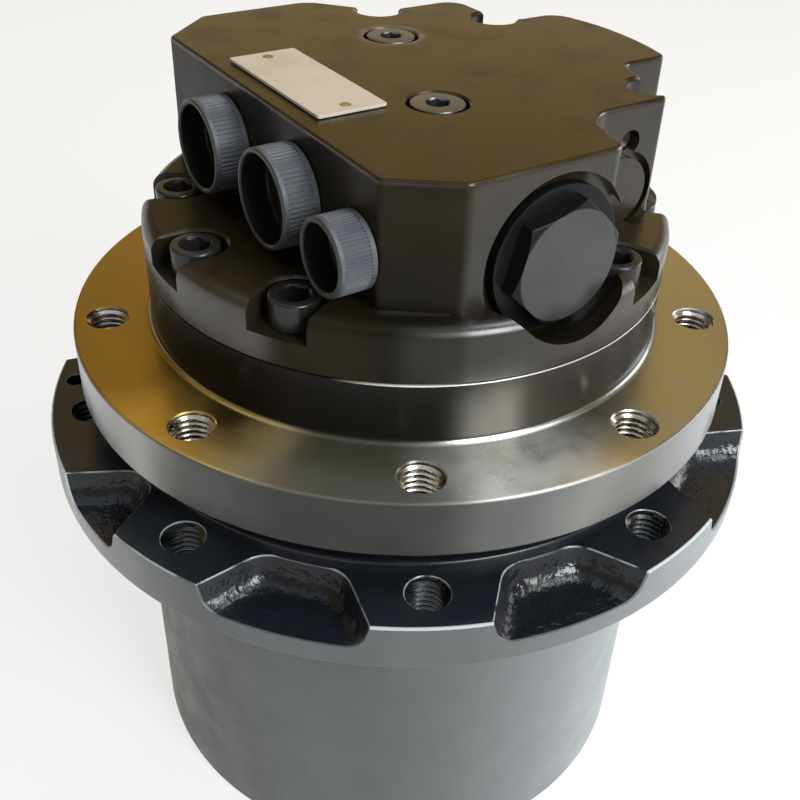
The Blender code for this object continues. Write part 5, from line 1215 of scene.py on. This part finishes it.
@dataclass
class RearCover:
    """The rear cover: round flange with open bolt pockets, and the valve block with its lobes and bores."""

    finishes: Finishes
    flange: float = 77.1 * MM
    low: float = 182.0 * MM
    flange_top: float = 197.7 * MM
    top: float = 232.0 * MM
    sink: float = 1.5 * MM
    spigot: Span = (35.5 * MM, 159.5 * MM)
    shaft_pocket: Span = (14.3 * MM, 171.5 * MM)
    flange_round: float = 4.2 * MM
    joint_edge: float = 0.35 * MM
    top_round: float = 1.0 * MM
    bolt_circle: float = 67.2 * MM
    bolt_angles: tuple[float, ...] = (180.0, -147.5, 147.5, -66.0, -33.0, 33.0, 66.0)
    pocket: float = 8.5 * MM
    pocket_floor: float = 189.7 * MM
    pocket_edge: float = 0.8 * MM
    flute: float = 7.2 * MM
    flute_edge: float = 1.0 * MM
    shank: float = 4.5 * MM
    front: float = -66.0 * MM
    back: float = 80.5 * MM
    bulge: Span = (9.7 * MM, 19.6 * MM)
    bulge_round: float = 0.8 * MM
    bulge_place: Place = (18.0 * MM, -65.4 * MM, 219.2 * MM)
    groove: tuple[float, float, float] = (9.9 * MM, 12.0 * MM, 2.6 * MM)
    groove_place: Place = (40.3 * MM, -45.5 * MM, 206.9 * MM)
    dimple: tuple[float, float, float] = (2.0 * MM, 3.6 * MM, 5.0 * MM)
    dimple_step: Span = (3.4 * MM, 3.6 * MM)
    dimple_place: Place = (41.8 * MM, -45.5 * MM, 221.2 * MM)
    head_room: tuple[float, float, float] = (17.4 * MM, 18.6 * MM, 11.0 * MM)
    spotface: Span = (22.5 * MM, 3.0 * MM)
    counterbore: Span = (13.3 * MM, 19.3 * MM)
    spool: float = 11.0 * MM
    spool_room: float = 16.0 * MM
    ports: tuple[float, ...] = (9.84 * MM, 9.84 * MM, 7.5 * MM)
    port_depth: float = 18.0 * MM
    plug: Span = (8.5 * MM, 9.3 * MM)
    plug_edge: float = 0.5 * MM

    def corners(self) -> list[tuple[float, float, float]]:
        """Plan points of the block in millimetres, each with the width of its rounding."""
        return [
            (-44.0, -54.0, 1.2), (-27.0, -66.0, 1.2), (19.0, -66.0, 3.0), (22.3, -59.15, 2.0),
            (22.3, -52.3, 2.5), (29.1, -45.5, 3.0), (53.5, -45.5, 1.6), (57.8, -32.1, 4.0),
            (62.05, -18.7, 3.0), (79.2, -18.7, 2.0), (82.7, -3.7, 8.0), (82.7, 15.0, 6.0),
            (78.45, 32.0, 6.0), (61.75, 32.0, 3.5), (57.5, 40.5, 3.5), (57.5, 60.0, 7.0),
            (29.0, 60.0, 5.0), (11.2, 80.5, 4.0), (-14.7, 80.5, 0.0), (-27.0, 80.2, 1.2),
            (-44.0, 65.0, 1.2),
        ]

    def block(self) -> BMesh:
        """The valve block as one prism with rounded uprights and a rounded top edge."""
        corners = self.corners()
        shape = raised([(x * MM, y * MM) for x, y, _ in corners], self.flange_top - self.sink, self.top)
        for x, y, width in corners:
            if width:
                soften(shape, upright(shape, (x * MM, y * MM)), width * MM, 6 if width > 2.0 else 3)
        soften(shape, level(shape, self.top), self.top_round, 3)
        return shape

    def disc(self) -> BMesh:
        """The round flange and the spigot below it."""
        spigot, spigot_low = self.spigot
        pocket, pocket_top = self.shaft_pocket
        section = [(0.0, pocket_top), (pocket, pocket_top), (pocket, spigot_low), (spigot, spigot_low),
                   (spigot, self.low), (self.flange, self.low), (self.flange, self.flange_top),
                   (0.0, self.flange_top)]
        shape = spun(section, ROUND_STEPS)
        rounded(shape, (self.flange, self.flange_top, self.flange_round, 7),
                (self.flange, self.low, self.joint_edge, 2))
        return shape

    def bolt_pocket(self) -> BMesh:
        """The tool for one bolt pocket, open towards +X."""
        reach = self.flange - self.bolt_circle + OVERRUN
        outline = [(reach, -self.pocket), (reach, self.pocket)]
        outline += [polar(self.pocket, 90.0 + 180.0 * step / 24) for step in range(25)]
        edge = self.flange_top - self.pocket_edge
        shape = raised(outline, self.pocket_floor, edge)
        flare(shape, edge, 2 * self.pocket_edge)
        return shape

    def build(self) -> None:
        """Makes the cover."""
        made = body_of("rear_cover_casting", self.disc())
        work(made, self.block(), Cut.ONTO)
        radius, length = self.bulge
        bulge = spun([(0.0, length), (radius, length), (radius, 0.0), (0.0, 0.0)], SMALL_STEPS)
        rounded(bulge, (radius, 0.0, self.bulge_round, 2))
        work(made, placed(bulge, facing(self.bulge_place, BACKWARD)), Cut.ONTO)
        out = Matrix.Translation((self.bolt_circle, 0.0, 0.0))
        turns = [Matrix.Rotation(math.radians(angle), 4, "Z") @ out for angle in self.bolt_angles]
        work(made, repeated(self.bolt_pocket(), turns))
        self.screw_holes(made, turns)
        self.bore(made)
        self.recesses(made)
        settle(made, self.finishes.block, "casing", ["rear_cover"])

    def screw_holes(self, made: Object, turns: list[Matrix]) -> None:
        """Cuts the flutes that give a key room beside the block, and the holes for the screws."""
        middle = (self.pocket_floor + self.flange_top) / 2
        flutes = [turn for turn, angle in zip(turns, self.bolt_angles) if abs(angle) < 90.0]
        wide, above = self.flute + self.flute_edge + OVERRUN, self.top + OVERRUN
        rod = spun([(0.0, above), (wide, above), (self.flute, self.top - self.flute_edge),
                    (self.flute, middle), (0.0, middle)], SMALL_STEPS)
        work(made, repeated(rod, flutes))
        high, low = self.pocket_floor + OVERRUN, self.low - OVERRUN
        hole = spun([(0.0, high), (self.shank, high), (self.shank, low), (0.0, low)], SMALL_STEPS)
        work(made, repeated(hole, turns))

    def bore(self, made: Object) -> None:
        """Cuts the spool bore with its spotfaces, the oil ports and the seats of the top plugs."""
        length = self.back - self.front
        wide, depth = self.spotface
        step, step_end = self.counterbore
        outer, inner, reach = self.head_room
        spool = [
            (0.0, -self.spool_room), (outer, -self.spool_room), (inner, -reach), (wide, 0.0),
            (wide, depth), (step, depth), (step, step_end), (self.spool, step_end),
            (self.spool, length - step_end), (step, length - step_end), (step, length - depth),
            (wide, length - depth), (wide, length + self.spool_room), (0.0, length + self.spool_room),
        ]
        work(made, placed(spun(spool, BORE_STEPS), facing((SPOOL_X, self.front, SPOOL_Z), BACKWARD)))
        for (y, z), radius in zip(PORTS, self.ports):
            port = spun([(0.0, -OVERRUN), (radius, -OVERRUN), (radius, self.port_depth),
                         (0.0, self.port_depth)], SMALL_STEPS)
            work(made, placed(port, facing((PORT_FACE, y, z), (1.0, 0.0, 0.0))))
        plug, depth = self.plug
        wide, above, floor = plug + self.plug_edge + OVERRUN, self.top + OVERRUN, self.top - depth
        seat = spun([(0.0, above), (wide, above), (plug, self.top - self.plug_edge), (plug, floor),
                     (0.0, floor)], SMALL_STEPS)
        work(made, repeated(seat, [Matrix.Translation((x, y, 0.0)) for x, y in TOP_PLUGS]))

    def recesses(self, made: Object) -> None:
        """Cuts the ring groove and the dimple in the right front face."""
        inner, outer, depth = self.groove
        groove = spun([(inner, depth), (inner, -OVERRUN), (outer, -OVERRUN), (outer, depth)], SMALL_STEPS)
        work(made, placed(groove, facing(self.groove_place, BACKWARD)))
        floor, mouth, depth = self.dimple
        dimple = spun([(0.0, depth), (floor, depth), self.dimple_step, (mouth, -OVERRUN),
                       (0.0, -OVERRUN)], SMALL_STEPS)
        work(made, placed(dimple, facing(self.dimple_place, BACKWARD)))


@dataclass
class CoverScrews:
    """The socket-head screws of the rear cover."""

    finishes: Finishes
    head: float = 6.8 * MM
    seat: float = 190.0 * MM
    top: float = 197.7 * MM
    shank: float = 4.0 * MM
    shank_end: float = 168.0 * MM
    socket_flats: float = 7.6 * MM
    socket_depth: float = 6.0 * MM
    socket_play: float = 0.1 * MM
    socket_edge: Span = (0.8 * MM, 0.9 * MM)
    edge: float = 0.8 * MM

    def build(self) -> None:
        """Makes one screw for each node."""
        cover = RearCover(self.finishes)
        for number, angle in enumerate(cover.bolt_angles, start=1):
            mouth = corner_of(self.socket_flats) + self.socket_play
            floor = self.top - self.socket_depth
            across, down = self.socket_edge
            section = [
                (0.0, floor), (mouth - across, floor), (mouth - across, self.top - down),
                (mouth, self.top), (self.head, self.top), (self.head, self.seat), (self.shank, self.seat),
                (self.shank, self.shank_end), (0.0, self.shank_end),
            ]
            shape = spun(section, SMALL_STEPS)
            rounded(shape, (self.head, self.top, self.edge, 3))
            made = body_of(f"cover_screw_{number}", shape)
            work(made, hexagon(self.socket_flats, floor, self.top + OVERRUN))
            # Each screw was stopped at a turn of its own
            turn = Matrix.Rotation(angle, 4, "Z")
            made.data.transform(Matrix.Translation((*polar(cover.bolt_circle, angle), 0.0)) @ turn)
            settle(made, self.finishes.oxide, "casing", [f"cover_bolt_{number}"])


@dataclass
class EndPlugs:
    """The hexagon plugs at the two ends of the spool bore."""

    finishes: Finishes
    flange: float = 19.5 * MM
    flange_top: float = 3.0 * MM
    flange_low: float = 0.3 * MM
    edge: float = 0.5 * MM
    thread: float = 13.0 * MM
    thread_end: float = -16.0 * MM
    hollow: Span = (7.0 * MM, -4.0 * MM)
    flats: float = 29.7 * MM
    proud: float = 5.2 * MM
    chamfer: float = 1.6 * MM
    cone: Span = (2.4 * MM, 0.4 * MM)
    turn: float = 15.0
    ends: tuple[tuple[str, float, float], ...] = (("front", -63.0 * MM, -1.0), ("rear", 77.5 * MM, 1.0))

    def build(self) -> None:
        """Makes the front and the rear plug."""
        for label, y, out in self.ends:
            hollow, hollow_top = self.hollow
            section = [
                (0.0, self.flange_top), (self.flange, self.flange_top), (self.flange, self.flange_low),
                (self.thread, self.flange_low), (self.thread, self.thread_end), (hollow, self.thread_end),
                (hollow, hollow_top), (0.0, hollow_top),
            ]
            shape = spun(section, BORE_STEPS)
            rounded(shape, (self.flange, self.flange_top, self.edge, 2))
            made = body_of(f"end_plug_{label}", shape)
            top = self.flange_top + self.proud
            corner = corner_of(self.flats)
            inset, room = self.cone
            wide = corner + room
            cone = spun([(0.0, top), (corner - inset, top), (wide, top - self.chamfer), (wide, 0.0),
                         (0.0, 0.0)], BORE_STEPS)
            head = body_of("head", hexagon(self.flats, self.flange_top / 2, top + OVERRUN, self.turn))
            work(head, cone, Cut.WITHIN)
            joined = bmesh.new()
            joined.from_mesh(head.data)
            bpy.data.meshes.remove(head.data)
            work(made, joined, Cut.ONTO)
            made.data.transform(facing((SPOOL_X, y, SPOOL_Z), (0.0, out, 0.0)))
            settle(made, self.finishes.hexagon, "casing", [f"valve_plug_{label}"])


@dataclass
class PortCaps:
    """The ribbed push-in caps in the three oil ports."""

    finishes: Finishes
    radii: tuple[float, ...] = (13.25 * MM, 13.25 * MM, 10.0 * MM)
    proud: float = 10.5 * MM
    wall: float = 1.6 * MM
    floor: float = 2.5 * MM
    edge: float = 0.5 * MM
    floor_edge: Span = (0.4 * MM, 0.6 * MM)
    foot: float = 0.3 * MM
    stem_share: float = 0.72
    stem_end: float = -9.0 * MM
    band_heights: Span = (1.6 * MM, 1.7 * MM)
    ribs: int = 66
    facets_a_rib: int = 4
    rib_depth: float = 0.35 * MM

    def cap(self, radius: float) -> BMesh:
        """One cap on Z, its mouth up, with its ribs pressed in."""
        stem = radius * self.stem_share
        inner = radius - self.wall
        facets = self.ribs * self.facets_a_rib
        across, up = self.floor_edge
        shoulder = self.proud - self.edge
        plain, ribbed = self.band_heights
        section = [
            (0.0, self.floor), (inner - across, self.floor), (inner, self.floor + up), (inner, shoulder),
            (inner + self.edge, self.proud), (radius - self.edge, self.proud), (radius, shoulder),
            (radius, self.proud - plain), (radius, self.proud - ribbed), (radius, ribbed),
            (radius, plain), (radius, self.foot), (stem, self.foot), (stem, self.stem_end),
            (0.0, self.stem_end),
        ]
        shape = spun(section, facets)
        low = (plain + ribbed) / 2
        high = self.proud - low
        for vert in shape.verts:
            if vert.co.xy.length > radius - WELD and low < vert.co.z < high:
                step = round(math.atan2(vert.co.y, vert.co.x) / FULL_TURN * facets) % self.facets_a_rib
                if step in (0, 1):
                    vert.co.xy *= 1.0 - self.rib_depth / radius
        return shape

    def build(self) -> None:
        """Makes the three caps."""
        for number, ((y, z), radius) in enumerate(zip(PORTS, self.radii), start=1):
            made = body_of(f"ribbed_cap_{number}", self.cap(radius))
            made.data.transform(facing((PORT_FACE, y, z), (-1.0, 0.0, 0.0)))
            settle(made, self.finishes.plastic, f"cap_{number}", [f"port_cap_{number}"])


@dataclass
class TopFittings:
    """The two flush plugs and the blank plate on top of the block."""

    finishes: Finishes
    top: float = 232.0 * MM
    plug: float = 7.5 * MM
    length: float = 9.0 * MM
    flats: float = 6.0 * MM
    socket: float = 4.5 * MM
    socket_edge: float = 0.7 * MM
    socket_play: float = 0.1 * MM
    plug_edge: float = 0.6 * MM
    plate: Span = (20.5 * MM, 51.5 * MM)
    plate_centre: Span = (-28.25 * MM, 9.25 * MM)
    plate_low: float = 232.3 * MM
    plate_top: float = 233.1 * MM
    plate_corner: float = 0.8 * MM
    plate_edge: float = 0.15 * MM
    rivet: float = 1.6 * MM
    rivet_dome: Span = (0.9 * MM, 0.38 * MM)
    rivet_proud: float = 0.5 * MM
    rivets: Span = (31.0 * MM, -12.5 * MM)

    def build(self) -> None:
        """Makes the plugs, the plate and its rivets."""
        for number, (x, y) in enumerate(TOP_PLUGS, start=1):
            mouth = corner_of(self.flats)
            floor = self.top - self.socket
            end = self.top - self.length
            inner = mouth - self.socket_edge
            section = [(0.0, floor), (inner, floor), (inner, self.top - self.socket_edge),
                       (mouth + self.socket_play, self.top), (self.plug, self.top), (self.plug, end),
                       (0.0, end)]
            shape = spun(section, SMALL_STEPS)
            rounded(shape, (self.plug, self.top, self.plug_edge, 2))
            made = body_of(f"flush_plug_{number}", shape)
            work(made, hexagon(self.flats, floor, self.top + OVERRUN))
            made.data.transform(Matrix.Translation((x, y, 0.0)))
            settle(made, self.finishes.plug, "casing", [f"top_plug_{number}"])
        self.name_plate()

    def name_plate(self) -> None:
        """Makes the blank plate with its two rivets."""
        width, length = self.plate
        x, y = self.plate_centre
        outline = [(x + side * width / 2, y + end * length / 2)
                   for side, end in ((-1, -1), (1, -1), (1, 1), (-1, 1))]
        shape = raised(outline, self.plate_low, self.plate_top)
        for corner in outline:
            soften(shape, upright(shape, corner), self.plate_corner, 4)
        soften(shape, level(shape, self.plate_top), self.plate_edge, 2)
        settle(body_of("blank_plate", shape), self.finishes.plate, "casing", ["name_plate"])
        crown, rise = self.rivet_dome
        rivet = spun([(0.0, self.plate_top + self.rivet_proud), (crown, self.plate_top + rise),
                      (self.rivet, self.plate_top), (self.rivet, self.plate_low),
                      (0.0, self.plate_low)], RIVET_STEPS)
        places = [Matrix.Translation((x, place, 0.0)) for place in self.rivets]
        settle(body_of("plate_rivets", repeated(rivet, places)), self.finishes.brass, "casing")


@dataclass
class InnerTrain:
    """The CAD nodes that keep their own shape, with a finish for each."""

    finishes: Finishes

    def build(self) -> None:
        """Gives every remaining node its material."""
        by_slot = {
            "ground_steel": self.finishes.ground, "black_oxide": self.finishes.oxide,
            "plug_steel": self.finishes.plug, "bronze": self.finishes.bronze,
            "friction": self.finishes.friction, "hub_paint": self.finishes.hub,
            "turned_steel": self.finishes.flange, "black_paint": self.finishes.block,
            "black_plastic": self.finishes.plastic, "plate_metal": self.finishes.plate,
        }
        slots = {entry["node"]: entry["material_slot"] for entry in frame["record"]["subparts"]}
        for name, node in frame["nodes"].items():
            material = by_slot.get(slots.get(name, ""), self.finishes.ground)
            for index in range(len(node.material_slots)):
                node.material_slots[index].material = material


@dataclass
class Studio:
    """Floor, backdrop, lights and camera."""

    floor_colour: Colour = (0.86, 0.86, 0.86)
    floor_size: float = 6.0
    glow: float = 0.72
    sky: tuple[tuple[float, Colour], ...] = (
        (0.0, WHITE), (0.09, WHITE), (0.20, (0.25, 0.19, 0.095)), (0.70, (0.24, 0.185, 0.09)),
        (0.85, (0.62, 0.66, 0.70)),
    )
    lamps: tuple[tuple[str, Place, float, float, Colour], ...] = (
        ("key", (0.07, -1.0, 0.75), 0.5, 14.0, (0.95, 1.0, 1.0)),
        ("side", (1.2, -0.3, 0.35), 0.6, 5.0, WHITE),
        ("top", (0.40, -0.50, 1.25), 0.4, 4.0, WHITE),
        ("back", (0.60, 0.88, 0.90), 1.3, 2.0, (1.0, 0.62, 0.10)),
    )
    lamp_aim: Place = (0.0, 0.0, 0.13)
    lens: float = 46.77
    sensor: float = 36.0
    shift: Span = (0.00125, -0.0151)
    place: Place = (-0.1593, -0.2361, 0.3271)
    target: Place = (0.0, 0.0, 0.1268)
    roll: float = math.radians(2.2)

    def floor(self) -> None:
        """A pale floor that looks white to the camera and keeps the shadow."""
        shape = bmesh.new()
        bmesh.ops.create_grid(shape, x_segments=1, y_segments=1, size=self.floor_size)
        made = body_of("floor", shape)
        recipe = Recipe("pale_floor")
        recipe.shade(base_color=self.floor_colour, roughness=0.9)
        light = recipe.node("ShaderNodeEmission")
        light.inputs["Strength"].default_value = 1.0
        path = recipe.node("ShaderNodeLightPath")
        mix = recipe.node("ShaderNodeMixShader")
        seen = recipe.plus(path.outputs["Is Camera Ray"], path.outputs["Is Glossy Ray"],
                           path.outputs["Is Transmission Ray"])
        recipe.feed(mix.inputs[0], recipe.times(recipe.least(seen, 1.0), self.glow))
        recipe.feed(mix.inputs[1], recipe.shader.outputs["BSDF"])
        recipe.feed(mix.inputs[2], light.outputs["Emission"])
        recipe.feed(recipe.tree.nodes["Material Output"].inputs["Surface"], mix.outputs["Shader"])
        made.data.materials.append(recipe.material)

    def world(self) -> None:
        """White near the horizon, brown like a workshop above it."""
        world = bpy.data.worlds.new("studio")
        bpy.context.scene.world = world
        world.use_nodes = True
        tree = world.node_tree
        sky = tree.nodes.new("ShaderNodeTexCoord")
        split = tree.nodes.new("ShaderNodeSeparateXYZ")
        tree.links.new(sky.outputs["Generated"], split.inputs["Vector"])
        ramp = tree.nodes.new("ShaderNodeValToRGB")
        tree.links.new(split.outputs["Z"], ramp.inputs["Fac"])
        for place, _ in self.sky[1:-1]:
            ramp.color_ramp.elements.new(place)
        for element, (place, colour) in zip(ramp.color_ramp.elements, self.sky):
            element.position = place
            element.color = (*colour, 1.0)
        tree.links.new(ramp.outputs["Color"], tree.nodes["Background"].inputs["Color"])

    def lamp(self, name: str, place: Place, size: float, power: float, colour: Colour) -> None:
        """A square soft light aimed at the object."""
        data = bpy.data.lights.new(name, "AREA")
        data.shape = "SQUARE"
        data.size = size
        data.energy = power
        data.color = colour
        made = bpy.data.objects.new(name, data)
        aim = Vector(self.lamp_aim) - Vector(place)
        made.matrix_world = Matrix.Translation(place) @ aim.to_track_quat("-Z", "Y").to_matrix().to_4x4()
        bpy.context.scene.collection.objects.link(made)

    def camera(self) -> None:
        """The camera at the photograph's angle."""
        data = bpy.data.cameras.new("camera")
        data.lens = self.lens
        data.sensor_width = self.sensor
        data.shift_x, data.shift_y = self.shift
        forward = (Vector(self.target) - Vector(self.place)).normalized()
        right = forward.cross(Vector((0.0, 0.0, 1.0))).normalized()
        up = right.cross(forward)
        right = right * math.cos(self.roll) + up * math.sin(self.roll)
        up = right.cross(forward)
        made = bpy.data.objects.new("camera", data)
        turn = Matrix((right, up, -forward)).transposed().to_4x4()
        made.matrix_world = Matrix.Translation(self.place) @ turn
        bpy.context.scene.collection.objects.link(made)
        bpy.context.scene.camera = made

    def build(self) -> None:
        """Sets up the studio."""
        self.floor()
        self.world()
        for lamp in self.lamps:
            self.lamp(*lamp)
        self.camera()
        bpy.context.scene.view_settings.view_transform = "Standard"


def main() -> None:
    """Builds the whole scene, piece by piece."""
    logging.basicConfig(level=logging.INFO, format="%(message)s")
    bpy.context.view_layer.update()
    finishes = Finishes()
    kinds = (InnerTrain, HubDrum, MotorCasing, RearCover, CoverScrews, EndPlugs, PortCaps, TopFittings)
    for assembly in (*(kind(finishes) for kind in kinds), Studio()):
        assembly.build()
        log.info("built %s", type(assembly).__name__)


if __name__ == "__main__":
    main()
